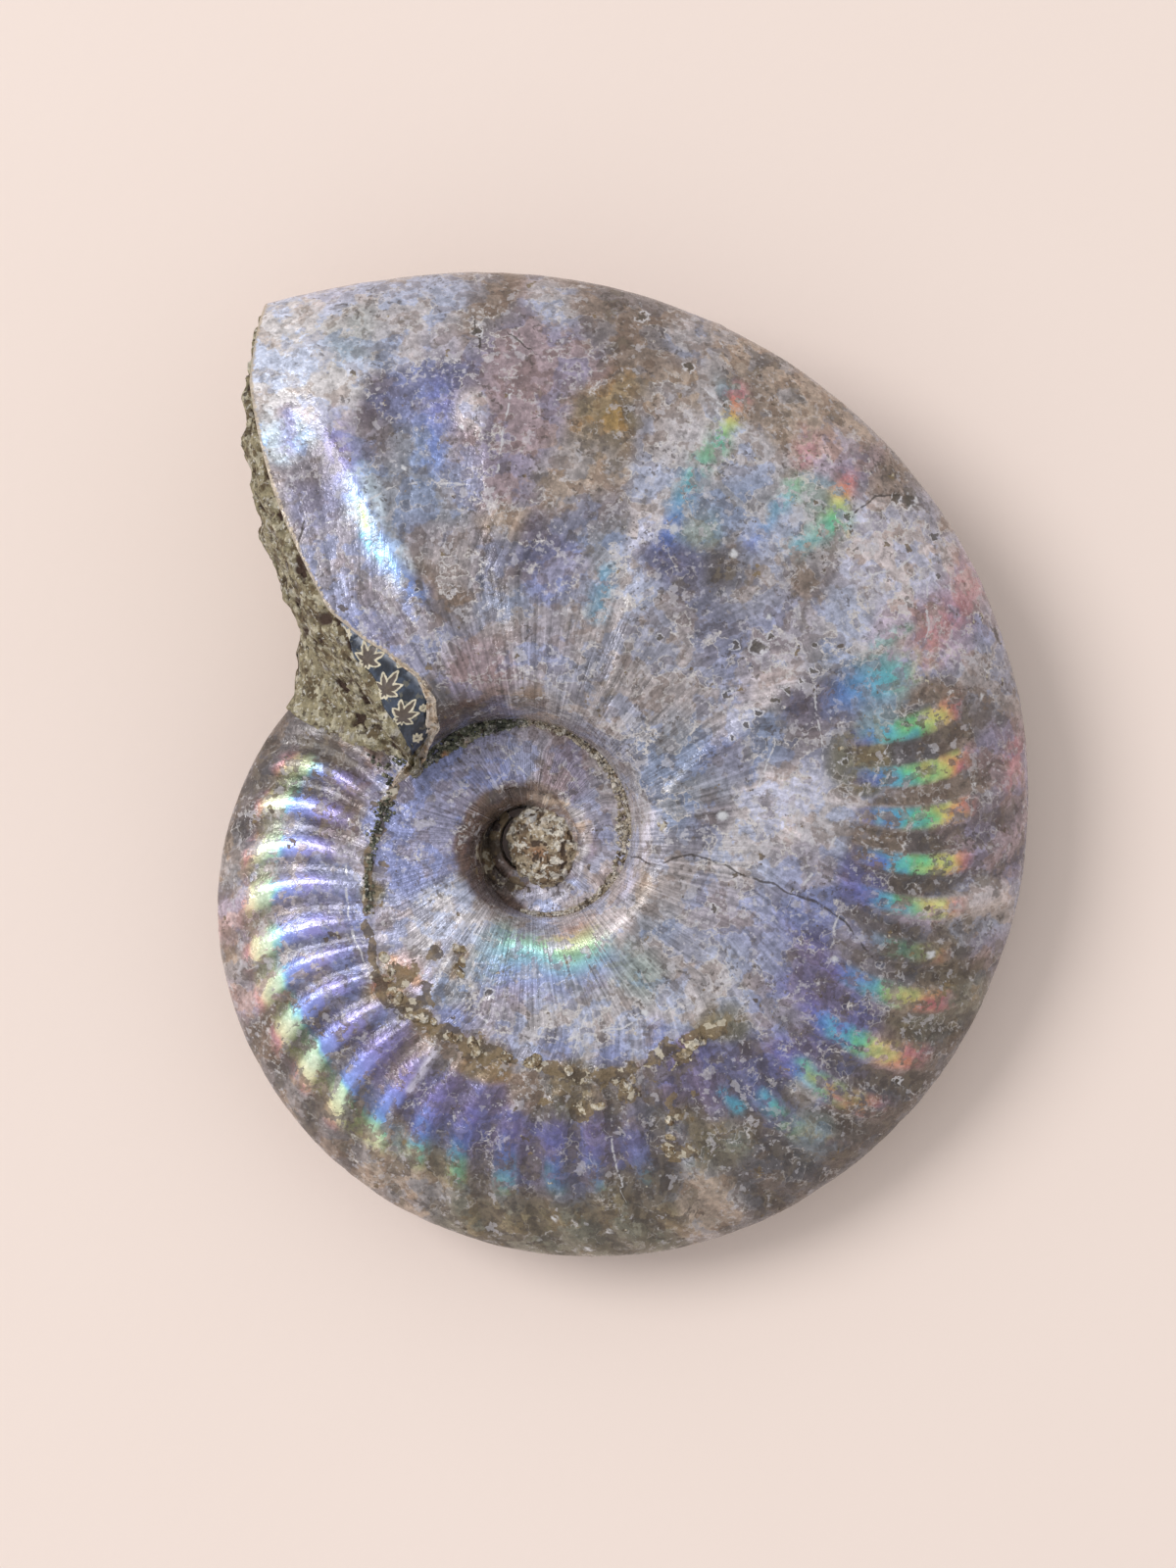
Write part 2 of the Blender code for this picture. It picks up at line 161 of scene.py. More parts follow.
# Broad colour on the flank: x and y on the chart in millimetres from the coil's axis, and its reach
DAUBS = {
    "white": ((-18.5, 43, 2.4), (-16.2, 41, 1.6), (-20.5, 45.5, 1.6)),
    "pearl": (
        (-16.5, 46.5, 2), (-17, 38, 1.4), (-11, 43.5, 1.1), (30, 28, 2.2), (33, 26, 2.2), (31, 23.5, 2.2),
        (33.6, 29.4, 1.3), (34.6, 23.6, 1.3), (28, 25, 1.4), (21, 4, 2.4), (23.5, 6.5, 1.4), (8.6, 3, 1.6),
        (7.6, -1.5, 1.5), (6.6, -5.4, 1.2), (3.4, -7.6, 1.3), (9.5, 28, 1.3), (-5, 38.5, 1),
        (17.5, 11, 1.1), (19.5, 14, 1.1), (22, 16, 1.1), (-22, -4, 1.6), (-22.5, 1, 1.4), (-20, -9, 1.5),
        (5, 3.2, 0.8), (38.5, -5.4, 1.2),
    ),
    "pale": (
        (-13, 46.8, 2.2), (-8, 47, 2), (2, 46.7, 1.2), (13, 36.5, 1.8), (11.5, 31, 2), (21, 28, 2.4),
        (18.5, 0.5, 2), (17, -10, 2), (2, -14.3, 2.3), (7.5, -13.5, 2.3), (12, -12.3, 1.8), (27, 20, 2.2),
        (8.5, 22.5, 1.8), (-8, -7.5, 2), (0, -10, 1.6), (16.8, 33.5, 1.4), (25, 2.5, 1.2), (23, -20.8, 1),
        (-12.5, 21.5, 1), (13.5, 44.4, 1.1),
    ),
    # Painted highlight on the ridge behind the broken aperture and to its left
    "ice_highlight": ((-15, 32.5, 1.0), (-14.2, 29.8, 1.1), (-13.2, 27.2, 1.1), (-11.8, 24.8, 1.0), (-20.6, 36, 0.9)),
    "lavender": (
        (-15.5, 27, 1.4), (-14.5, 23.5, 1.8), (-7.5, 44.5, 1.4), (22, 19, 2.4), (22.5, -0.5, 1.8),
        (16.5, -5, 2), (-3, -14, 2), (-11.5, -7, 1.5), (-16.4, -1, 1.4), (21, -14, 1.6), (20, -9, 1.8),
        (27, -8, 1.4), (1, 18, 2), (-8.5, 19, 1.6), (0, 9.4, 1.4), (5.6, 3, 1.2), (-15.8, 35.5, 1.3),
        (34, 16.5, 1.2), (17.5, 15.5, 2), (39.5, 20, 1.3), (-6.3, 32.5, 1.8),
    ),
    "periwinkle": (
        (-9.5, 39, 1.8), (-13, 20.5, 1.6), (-4, 9.6, 1.7), (-10, 4, 2.2), (-11.6, 0, 1.9), (-17.4, 31, 1.3),
        (2.2, 23.8, 1.6), (-17, -6, 1.8), (-15.8, -10, 1.7), (2, -16.7, 1.0), (7, -16.4, 1.0),
        (11, -15.3, 1.1), (-6, -14.6, 1.3), (-13, -13.8, 0.8), (16.5, 8, 1.8), (24.5, -4.4, 1.6),
    ),
    "steel": (
        (-9.5, 31, 2.6), (18, 30, 1.6), (20, 10, 2), (12, 5, 2.2), (11, -5.5, 1.6), (16, 7, 1.8),
        (-10.5, 35.5, 1.6), (13.6, 30.6, 1.5), (28.5, 14.8, 1.6), (-6.5, -10.5, 1.6), (4.4, -10.6, 1.6),
        (12, 9.6, 2), (-2, 22, 1.4), (24.5, 17.3, 1.3), (6, 27.5, 1.4), (-12, 43.8, 1.3),
    ),
    "sea": (
        (-16.5, 44.2, 1.5), (14, 28.5, 1.3), (24, 30.4, 1.4), (29.8, 15.4, 1.3), (-3.6, -9.2, 1.4),
        (9.5, -10.4, 1.6), (29, 12, 1.2), (24, -24.5, 1.4), (17, 40, 1), (-14.5, 46.2, 1.2),
    ),
    "violet": (
        (24, -10, 2.6), (26, -13, 2.4), (0.5, -26, 2.2), (4, -25.4, 2.2), (-5, -23.5, 2.2), (28, -2.4, 1.4),
        (-8.6, -21.5, 1.6), (23, -17, 2.4), (14.5, -20, 2.4), (-12, -16.6, 1.2), (8, -26, 1.6),
    ),
    "indigo": (
        (-13, 39, 1.8), (0.6, 26, 1.6), (17.5, -19.5, 2.4), (26.5, -18.5, 2), (3, -27.5, 2.4),
        (-3, -27.5, 2), (9.5, -24, 2), (24, 13, 1.6), (-6, 41.5, 1.3), (-6.8, -24.4, 1.4),
        (12.5, 25.5, 1.8), (21, -21.5, 1.8),
    ),
    "slate": (
        (-12.5, 35.5, 1.8), (-17.8, 34, 1.4), (23, 9.5, 2.2), (14, 22, 2), (17, 18.5, 2), (26.4, 12.2, 1.4),
        (15.4, 3, 1.6), (27.5, -6, 1.6), (-3.2, 25.5, 2), (5, 29.5, 1.8), (29, -10.5, 1.6), (-9, 27.5, 1.6),
    ),
    "mauve": (
        (-1.5, 43, 2.4), (2.5, 43.5, 2.2), (-2, 39, 2.2), (1, 37, 2.2), (-3, 33.5, 2.4), (38.5, 2.5, 1.8),
        (39.8, 8, 1.6), (-10.5, -18, 1.6), (3, 7.4, 1.3), (35.5, 20.5, 1.8), (38.6, -9, 1.5),
        (28.6, 33.2, 1.4), (-4, 17, 1.8), (-15.5, 7.2, 1.2),
    ),
    "grey": (
        (-8, 26, 1.8), (10, 37, 1.5), (19, 22.5, 2), (12.5, 0, 2), (12, -3, 1.8), (13, -8.5, 2.2),
        (11, 18.5, 2.4), (6, 18.5, 2.4), (5, 22, 1.8), (-2, 20.5, 2.2), (7, 8, 1.8), (38.5, 15.5, 1.8),
        (36.5, -6, 1.8), (13.5, 44, 1.4), (9, 13.4, 2.2), (14.4, 13.6, 2), (4, 14.2, 2),
    ),
    "pink": (
        (34.5, 21, 1.8), (31, 19, 1.6), (35, 17.6, 1.4), (26, 35, 1.3), (-10.2, -9.6, 1.2),
        (36.6, 24.5, 1.4), (-24, -6, 1.3), (-23.6, -12, 1.4), (41, 7.6, 0.9), (30.2, -16.8, 1.1),
        (3.8, 0.6, 0.8), (33.5, -5.2, 1.1),
    ),
    "beige": (
        (4, 33.5, 2.4), (-2.5, 28.5, 1.3), (14, 40, 1.4), (17.5, 43, 1.8), (22, 41, 2.2), (27, 37, 2),
        (25, 26.6, 1.2), (9.5, -3, 1.4), (-10, -29, 1.8), (15.5, -29.5, 2), (-24.4, -10, 1.2), (2, 13, 1.6),
        (-25.4, 0, 1.2), (-13, -26, 1.6), (32.5, -12.2, 1.2), (-18.5, -19, 1.4), (29, 22.4, 1.2),
        (-12.6, -10.4, 1.0),
    ),
    "taupe": (
        (-4, 46.6, 1.8), (6, 47, 2.2), (10, 45, 2.2), (19.4, 40.2, 1.6), (31, 32, 2), (34, 28.8, 1.8),
        (23, 23, 1.6), (36.5, 12.6, 2), (37.4, 5, 1.8), (30.5, 0, 1.6), (-15.5, -23.5, 2),
        (-19, -17.6, 1.6), (-22.6, -14.6, 1.6), (-25, 5, 1.4), (-19.5, 9.5, 2), (-14.8, 11.4, 1.8),
        (-9, -17.2, 1.4), (-10, 24, 1), (7.6, -21, 1.8), (0, -20.6, 1.6), (-16.5, 3.2, 1.2), (-7, 21, 1.4),
    ),
    "olive": (
        (3, -20.8, 1.8), (12.5, -23, 1.8), (8, -31, 2.6), (37, -9.5, 2), (33.5, -15, 1.8), (-4, -30, 2.2),
        (27.4, 9, 1.4), (16, -24.5, 1.8), (-8, -26.6, 1.4), (2, -31.5, 2.4), (16.5, -14.6, 1.4),
        (-14.3, -3.5, 0.8),
    ),
    "ochre": ((5, 37, 2.2), (8, 37.6, 1.8), (-13.2, -12, 1), (-8.5, -15.3, 1), (-4, -17.6, 1.2)),
    "umber": (
        (16.2, 24.3, 1.9), (32.4, -9, 1.8), (35, -17.6, 2), (29, -22.4, 2.6), (23.5, -26.6, 2.6),
        (33, -1.8, 1.6), (34, 10.4, 1.4), (19.5, -29, 2.2), (-17.6, 11.6, 1.4), (10, -28.6, 1.8),
        # The daub at (-8.4, 12.2) is painted shadow beside the seam above the umbilicus
        (-8.4, 12.2, 1.2), (-18.6, 8.2, 1.4), (-21.6, 6.4, 1.4), (-24.6, 2.4, 1.2), (-22, 10, 1.4),
    ),
    # Painted shadow beside the seam above the umbilicus
    "shadow": ((-7, 11.3, 1.0), (-4.6, 11.9, 0.9)),
}
# Where the shell is worn pale and crackled, stained brown, or crusted: x, y, reach and strength
WORN = (
    (-18, 44, 3.5, 0.8), (-15.5, 40, 2, 0.6), (9.3, 22.5, 2, 1.0), (8, 25, 2, 0.8), (30, 27, 3.6, 0.9),
    (32, 22, 3.6, 0.7), (22, 17, 3, 0.6), (27, 19, 3, 0.7), (21, 3, 4, 0.6), (17, 0, 3, 0.5),
    (23.5, 6, 2, 0.7), (2, -14, 2.6, 0.6), (7, -13.5, 2.6, 0.6), (12, -12, 2.6, 0.5), (16, -10.4, 2.4, 0.5),
    (9, 3, 2.4, 0.6), (8, 9, 3, 0.6), (-3, 44, 3, 0.4), (12, 35.5, 3, 0.7), (11.5, 29, 2, 0.7),
    (-8, -6, 2.4, 0.5), (24, 30, 3, 0.6), (14, 18, 3, 0.4), (-7, 24, 3, 0.6), (-5, 30, 3, 0.5),
    (38, 18, 2, 0.6), (-23, -9, 2, 0.6), (-23.5, 4, 2, 0.5), (14, -25, 2, 0.4), (19, -22, 2, 0.4),
    (6, 17, 3, 0.3), (-9, 45, 3, 0.4), (18, 12.5, 2, 0.6), (-4, -13, 2, 0.5), (0, 15.4, 3, 0.3),
    (-21, -14, 2, 0.5),
)
STAINS_AND_SHADOW = (
    (5, 36, 3.6, 0.7), (8, 37.5, 2, 0.9), (16, 24.5, 2.4, 0.8), (23, 23, 2, 0.5), (27.4, 9, 1.7, 1.0),
    (0, 33, 4, 0.4), (3, 30, 3, 0.4), (7, 46, 4, 0.7), (20, 42, 4, 0.6), (31, 32, 3, 0.6), (37, 10, 4, 0.5),
    (38, 0, 4, 0.5), (36, -9, 4, 0.8), (32, -18, 4, 0.6), (28, -24, 4, 0.6), (20, -29, 4, 0.6),
    (10, -30, 5, 0.9), (-2, -31, 5, 0.8), (-10, -28, 4, 0.7), (-17, -22, 3, 0.6), (-24.5, -5, 1.6, 0.5),
    (-24, 8, 3, 0.8), (-18, 9, 4, 0.8), (5, -21, 3.4, 0.8), (12, -18, 3.4, 0.7), (-12, -13, 2.4, 0.6),
    # The spot at (-6, 11) is painted shadow beside the seam above the umbilicus, laid on as brown stain
    (-6, -17, 2.6, 0.6), (-14.3, -1, 1.2, 0.9), (-10, 22, 2, 0.4), (13, -24, 2.4, 0.7), (-6, 11, 3, 0.6),
    (24, 38, 3, 0.5),
)
CRUST = (
    (4.6, -21.9, 1.2, 0.9), (1, -21.4, 0.7, 0.7), (13, -17, 1.2, 0.9), (12.6, -22, 1.3, 0.7),
    (12, -26, 1.1, 0.7), (8, -20.4, 1.1, 0.7), (16.6, -14.4, 1, 0.6), (27.6, 8.4, 1.0, 0.5),
    (13.6, -25.8, 0.8, 0.6), (5.6, -19.6, 1.4, 0.6), (-3.6, 0.6, 1.3, 0.8), (-3.4, -1.6, 1.1, 0.8),
    (-2.8, 2.8, 1.1, 0.7), (-1.6, -2.6, 0.8, 0.7), (-11.2, -10.6, 1.3, 0.8), (-8.4, -8.6, 0.9, 0.7),
    (-9.6, -12.4, 1.4, 0.8),
)
# Crusted lines: half-width and strength, then points on the chart
CRUST_LINES = (
    (0.8, 0.9, (-13.2, -10.5), (-12.5, -12), (-10.5, -13.6), (-8, -15.2), (-5.5, -16.8), (-3, -17.4)),
    (0.7, 0.7, (-3, -17.4), (0, -18), (4, -19), (8, -18.8), (11, -17.5), (13.5, -16), (16, -15)),
    (0.42, 0.9, (-11.6, 6), (-12.8, 4.5), (-13.3, 2.5), (-14, 0.5), (-14.4, -2), (-14.4, -5)),
    (0.4, 0.7, (-14.4, -5), (-13.9, -8), (-13.2, -10.5)),
)

# The bearing that the sediment's broken face looks towards.
# Its holes and ledges: x, y, reach and strength
BREAK_FACES = 165.0
BREAK_HOLES = (
    (-17.3, 19.6, 0.7, 1), (-19.3, 18.7, 0.6, 1), (-19.0, 24.1, 0.7, 1), (-22.0, 31.7, 0.5, 1),
    (-16.0, 20.4, 0.5, 0.9), (-19.6, 21.2, 0.4, 0.8), (-15.4, 14.6, 0.5, 0.7), (-21.6, 28.3, 0.4, 0.7),
)
BREAK_LEDGES = (
    (-24.6, 34.4, 1.5, 1.0), (-24.2, 38.4, 1.1, 0.5), (-22.6, 30.0, 1.4, 0.5), (-22.4, 26.6, 1.4, 0.7),
    (-20.4, 21.6, 1.0, 0.4), (-19.6, 17.0, 1.6, 0.3), (-20.6, 11.4, 1.2, 0.5),
)
# The frilled leaves on the chamber's cast: x, y, size and heading, and their line's half-width
LEAVES = (
    (-14.2, 16.8, 1.8, 62), (-12.6, 14.2, 1.7, 58), (-11.2, 11.9, 1.65, 52), (-15.9, 18.9, 0.7, 110),
    (-14.3, 14.0, 0.6, 240), (-12.9, 11.6, 0.6, 235), (-11.3, 9.5, 0.7, 230), (-10.0, 10.0, 0.6, 40),
    (-9.4, 12.6, 0.45, 40), (-11.4, 16.4, 0.45, 60),
)
# The lobes of a leaf: how far each turns from its heading, its length and its half-width
LOBES = ((0, 1.7, 0.2), (38, 1.35, 0.17), (-38, 1.35, 0.17), (82, 0.95, 0.16), (-82, 0.95, 0.16))
LEAF_LINE = 0.10
# The curled lip of the shell: how far along it, coil angle ahead and share of the flank; its width and curl
LIP_PLACES = (
    (0, 9.5, 0.2), (0.22, 6.8, 0.13), (0.38, 6.9, 0.075), (0.52, 12.2, 0.025), (0.75, 23.8, 0.0),
    (0.9, 31, 0.0), (1.0, 39, 0.01),
)
LIP_WIDTH, LIP_CURL = 0.75, 0.5
# How far crumbs of sediment reach in from the umbilical seam, at coil angles
SEAM_CRUMB_WIDTHS = (
    (-27, 0.9), (-8, 1.4), (10, 1.1), (24, 0.5), (60, 0.6), (92, 0.9), (104, 1.3), (118, 0.9), (150, 0.5),
    (215, 0.25),
)
# Crumbs on the scars of the lost chamber: half-width, how many to a millimetre, then chart points.
# The half-width is this many times the usual distance of a crumb from the line
SCATTER = 1.6
DARK_SCARS = (
    (0.35, 16, (-12.2, 8.8), (-11.2, 7.6), (-10.4, 7.0)), (0.5, 8, (-14, 8.4), (-12.4, 6.6), (-12.2, 5.2)),
    (0.5, 26, (-12.4, 4.9), (-13.2, 3.0), (-13.8, 1.4)), (0.25, 18, (-13.8, 1.4), (-14.3, -2), (-14.1, -5)),
)
OCHRE_SCARS = (
    (0.5, 2, (-13.2, -9.4), (-11.8, -12.4), (-9.4, -14.2)),
    (0.4, 1, (-9.4, -14.2), (-6, -16.2), (-2, -17.6), (3, -18.8)), (0.5, 2, (4, -21.9), (6, -21.6)),
    (0.4, 2, (12.2, -17.8), (13.6, -16.8), (15.6, -15.4)), (0.3, 3, (-6.2, -7.4), (-6.5, -10.4)),
    (0.4, 1.5, (6.8, -20.4), (9, -19.6)), (0.6, 1.0, (11, -22), (12, -26)),
)
# The spectrum over a rib from the middle of the flank outwards, and how strong it is at coil angles
SPECTRUM = (
    (0.0, (118, 110, 190)), (0.2, (96, 132, 206)), (0.36, (98, 186, 204)), (0.48, (116, 196, 140)),
    (0.64, (206, 204, 122)), (0.76, (220, 152, 112)), (0.87, (206, 120, 130)), (1.0, (184, 138, 156)),
)
RAINBOW_INNER = (
    (88, 0.5), (125, 0.52), (137, 0.55), (146, 0.58), (160, 0.58), (190, 0.63), (228, 0.62), (320, 0.62),
)
RAINBOW_WIDTH = ((88, 0.4), (125, 0.4), (150, 0.38), (190, 0.4), (228, 0.36), (250, 0.28), (320, 0.28))
RAINBOW_STRENGTH = (
    (84, 0), (88, 0.2), (93, 0.35), (97, 0.9), (104, 0.98), (118, 0.98), (124, 0.75), (128, 0.3),
    (132, 0.15), (137, 0.7), (141, 0.3), (146, 0.85), (150, 0.3), (155, 0.55), (159, 0.3), (163, 0.3),
    (168, 0.1), (186, 0.2), (196, 0.45), (226, 0.7), (236, 1), (310, 1), (317, 0.6), (322, 0),
)
RAINBOW_OUTER = (
    (88, 0.80), (128, 0.81), (137, 0.90), (158, 0.9), (168, 0.75), (206, 0.76), (213, 0.80), (230, 0.82),
    (242, 0.87), (330, 0.87),
)
# How the brilliant ribs' hues run, and how bright the dimmer ribs are at coil angles
BRILLIANT_HUES = ((0, 0.0), (0.48, 0.14), (0.6, 0.5), (0.9, 0.68), (1, 0.88))
DIM_GLOW = ((150, 1.0), (165, 0.62), (222, 0.62), (232, 1.0))
# How brilliant the ribs are at coil angles: their hues, painted highlights on their crests and painted
# shade between them
BRILLIANCE = ((160, 0.0), (222, 0.1), (236, 0.7), (250, 1.0), (310, 1.0), (320, 0.5), (325, 0.0))
# Streaks of the spectrum: half-width, strength and its hues from first to last, then points on the chart
STREAKS = (
    (0.8, 0.9, 0.9, 0.42, (17.6, 39.6), (16.9, 37.6), (16.2, 35.6)),
    (0.9, 0.7, 0.48, 0.16, (15.4, 34.6), (13.6, 32.4), (12.4, 30), (11.6, 27.4)),
    (1.0, 0.9, 0.84, 0.46, (27.0, 31.8), (26.4, 30.4), (26, 28.6)),
    (0.9, 0.6, 0.46, 0.34, (26, 28.6), (24.4, 27.4), (22.6, 26.4)),
    (1.0, 0.5, 0.95, 0.95, (23.8, 35.6), (23.2, 33.8)),
    (0.8, 0.5, 0.5, 0.16, (22.8, 32.2), (21, 29.6), (19, 27)),
    (1.5, 0.4, 0.93, 0.9, (37.5, 23), (36, 20.6), (33.8, 18.6)),
    (0.9, 0.4, 0.9, 0.9, (41.6, 9.2), (41.0, 6.4)),
    (1.4, 0.7, 0.22, 0.38, (27, 14), (29, 14.8), (31, 15.6)),
    (0.6, 0.4, 0.4, 0.44, (29.6, 18), (32.4, 19.6)),
    (0.5, 0.8, 0.3, 0.34, (16.4, -20.6), (17.6, -21.8)),
    (0.5, 0.7, 0.34, 0.42, (19.9, -20.8), (20.9, -21.8)),
    (0.5, 0.7, 0.45, 0.9, (23.2, -17.8), (24.6, -19.6), (26.6, -21.0)),
    (1.3, 0.5, 0.05, 0.2, (-8, 39.5), (-8.6, 34)),
    (0.9, 0.5, 0.3, 0.3, (6.5, 24.5), (5.6, 21)),
)
# Painted highlights on ridges and edges: half-width, strength and colour, then points on the chart
PAINTED_HIGHLIGHTS = (
    (0.85, 0.85, (126, 152, 214), (-15.8, 32.4), (-14.6, 29.6), (-13.2, 26.6), (-11.6, 24.4), (-9.8, 22.6)),
    (0.42, 0.9, (150, 190, 224), (-14.6, 29.4), (-13.5, 27.0), (-12.1, 25.1)),
    (0.34, 0.9, (172, 190, 106), (-15.0, 30.4), (-14.3, 28.4)),
    (0.3, 0.8, (110, 186, 204), (-14.6, 27.6), (-13.2, 25.4)),
    (1.3, 0.5, (140, 134, 206), (-17, 36.5), (-15.9, 33)),
    (0.4, 1.0, (246, 240, 255), (10.4, 3.6), (9.9, 1.6), (9.3, -0.6)),
    (0.4, 0.9, (236, 230, 252), (8.7, -1.8), (7.9, -3.4)),
    (0.9, 0.5, (160, 150, 220), (-20.8, 37.8), (-20.9, 35.4)),
    (0.3, 0.9, (226, 220, 236), (-8.4, -17.0), (-10.6, -20.4)),
    (0.4, 0.5, (190, 196, 232), (-7.8, -8.2), (-9.4, -11)),
    (0.22, 0.9, (226, 226, 234), (15.3, 39.6), (15.8, 38.4), (16.4, 37.2)),
)
# The fringe below the umbilicus: its middle, bearings and radii
FRINGE_AT = (0.2, 0.2)
FRINGE_FROM, FRINGE_TO, FRINGE_FADE = -122.0, -52.0, 10.0
FRINGE_INNER, FRINGE_OUTER = 7.0, 14.0
# Cracks, with their half-width first, and pale lines, as points on the chart
CRACKS = (
    (0.09, (13.5, 0.2), (17.2, -1.2), (20.8, -2.5), (21.9, -3.2), (25.1, -4.4), (27.4, -6.4), (29.4, -9.2)),
    (0.06, (8.6, -0.2), (10.4, -0.9), (13.5, 0.2)),
    (0.07, (-19.6, 28.6), (-20.4, 26.0)),
    (0.08, (27.9, 29.4), (29.3, 30.8), (31.2, 31.0)),
    (0.05, (39.6, 19.4), (40.2, 18)),
    (0.07, (-1.8, 44.6), (-0.4, 43.4)),
    (0.08, (-5.0, 45.8), (-4.6, 43.6)),
)
PALE_LINES = (
    ((24.3, 13.9), (25.1, 9.3), (24.7, 5.9)),
    ((-13.5, 30.8), (-11.6, 31.9), (-9.7, 32.1), (-6.2, 31.9)),
    ((-19.2, 28.5), (-16.7, 28.7)),
    ((-15.7, 2.1), (-16.2, -1.6), (-15.8, -5.4), (-14, -10.9)),
    ((-2.6, 9.1), (-0.8, 7.1)),
    ((30.3, 8.9), (29.4, 6.4), (27.6, 4.6), (26.2, 1.8), (24.6, -1), (22.6, -3.4)),
    ((17.3, -10.6), (13.8, -12.5), (10.3, -14.3), (6.2, -15.2), (2.7, -16.0), (-2, -15.3), (-4, -14.4)),
    ((20.8, 9.4), (19.6, 6.2), (18.6, 3.4)),
    ((29.6, 28.6), (28.2, 26.6), (29, 24), (31.4, 24.6), (33.6, 26.6), (33.8, 28.6)),
    ((33.8, 22.8), (34.2, 19.6), (33.2, 17.2)),
    ((15.6, 44.6), (16.2, 43.6)),
    ((15.3, 39.6), (16.2, 38.7)),
    ((-1.9, 39.5), (-3.1, 33)),
    ((3.5, -17), (4.6, -14)),
    ((6.6, -24.6), (7.6, -28.6)),
    ((26.2, -5.6), (25.6, -8.4)),
)
# A crack's depth, how wide the rubbed edge of the break is, and where a search for the nearest starts
CRACK_DEPTH, EDGE_WEAR, FAR = 0.06, 0.3, 9.0
# Where a pit's rim is, as a share of its reach, and how wide
RIM_AT, RIM_WIDTH = 1.15, 0.35
# Pits with their rims: x, y, reach, depth and height of rim
PITS = (
    (19.4, 17.9, 0.75, 0.34, 0.12), (17.5, 18.1, 0.45, 0.2, 0.1), (16.8, 13.8, 0.45, 0.15, 0.1),
    (24.5, 18.1, 0.3, 0.15, 0.08), (17.3, 10.1, 0.3, 0.1, 0.1), (18.4, 11.2, 0.34, 0.12, 0.12),
    (19.6, 12.3, 0.36, 0.12, 0.12), (20.8, 13.3, 0.38, 0.14, 0.13), (22, 14.2, 0.4, 0.15, 0.14),
    (23.2, 15.0, 0.38, 0.14, 0.13), (24.3, 15.8, 0.34, 0.1, 0.12), (16.6, 38.6, 0.4, 0.22, 0.08),
    (32.2, 30.3, 0.7, 0.3, 0.05), (31.2, 30.7, 0.5, 0.2, 0.05), (13.4, 42, 0.55, 0.2, 0.04),
    (9.3, 46.2, 0.5, 0.2, 0.05), (-4.9, 45, 0.45, 0.2, 0.06), (-9.9, 22.8, 0.28, 0.18, 0.06),
    (27.1, 29.0, 0.35, 0.2, 0.03), (34.5, 27.3, 0.4, 0.25, 0.05), (34.8, 24.0, 0.3, 0.2, 0.05),
    (11.0, 18.8, 0.3, 0.15, 0.05), (20.6, 18.8, 0.3, 0.12, 0.08), (22.4, -3.0, 0.25, 0.15, 0.0),
    (26.8, 8.0, 0.4, 0.2, 0.0), (-3.8, -12, 0.5, 0.2, 0.05), (15.6, -4.6, 0.35, 0.12, 0.0),
    (31.4, -19.6, 0.35, 0.12, 0.08), (36, -22.6, 0.3, 0.12, 0.05),
)
PALE_DOTS = (
    (16.3, 3.4, 0.5), (34.2, -8.7, 0.5), (1.9, -31.4, 0.34), (6.4, -32.5, 0.34), (4.8, -34, 0.3),
    (-6.1, 37, 0.3), (12.3, 28.2, 0.5), (13.6, 36.8, 0.3), (20.4, 20.6, 0.3), (38.6, 13.5, 0.35),
    (26.0, -9.0, 0.4), (9.6, -13.6, 0.4), (17.5, 26.0, 0.45), (-10.9, 33.4, 0.3),
)
# Broad dents and swellings of the flank: x, y, reach and height
SWELLINGS = (
    (-11.5, 37.5, 3.4, -0.28), (-5.0, 38.5, 1.6, 0.2), (-16.6, 42.5, 2.6, 0.22), (6, 40, 4, 0.12),
    (16, 24, 4, -0.12), (31, 25, 3.4, 0.14), (22, 2.5, 4, 0.14), (13, -9, 3, 0.08), (-3.5, 30, 3, -0.1),
    (24, 11, 2.4, -0.14), (9, 30, 3, 0.1), (0, 22, 3, 0.08), (-18.4, 33, 1.6, -0.14), (28, 33, 3, -0.08),
    (36, -5.5, 1.8, 0.08),
)
# The hollow in the middle of the coil: its place on the chart, radius, width of its wall, and depth
HOLLOW_AT, HOLLOW_RADIUS, HOLLOW_WALL, HOLLOW_DEPTH = (-1.0, 0.5), 5.6, 1.4, 1.2
# Tones of the hollow's wall by bearing in degrees, with painted shade: darkest on its left and top, palest
# on its right
HOLLOW_WALL_TONES_AND_SHADE = (
    (-180, (98, 78, 72)), (-110, (112, 100, 98)), (-60, (150, 140, 144)), (0, (158, 146, 150)),
    (50, (140, 126, 124)), (90, (104, 90, 84)), (180, (98, 78, 72)),
)
# The sediment in the hollow: its radii, and where its middle is, with the height on its own side
FILL_RADII, FILL_AT = (3.1, 3.6, 1.5), (1.0, 0.8, 1.7)
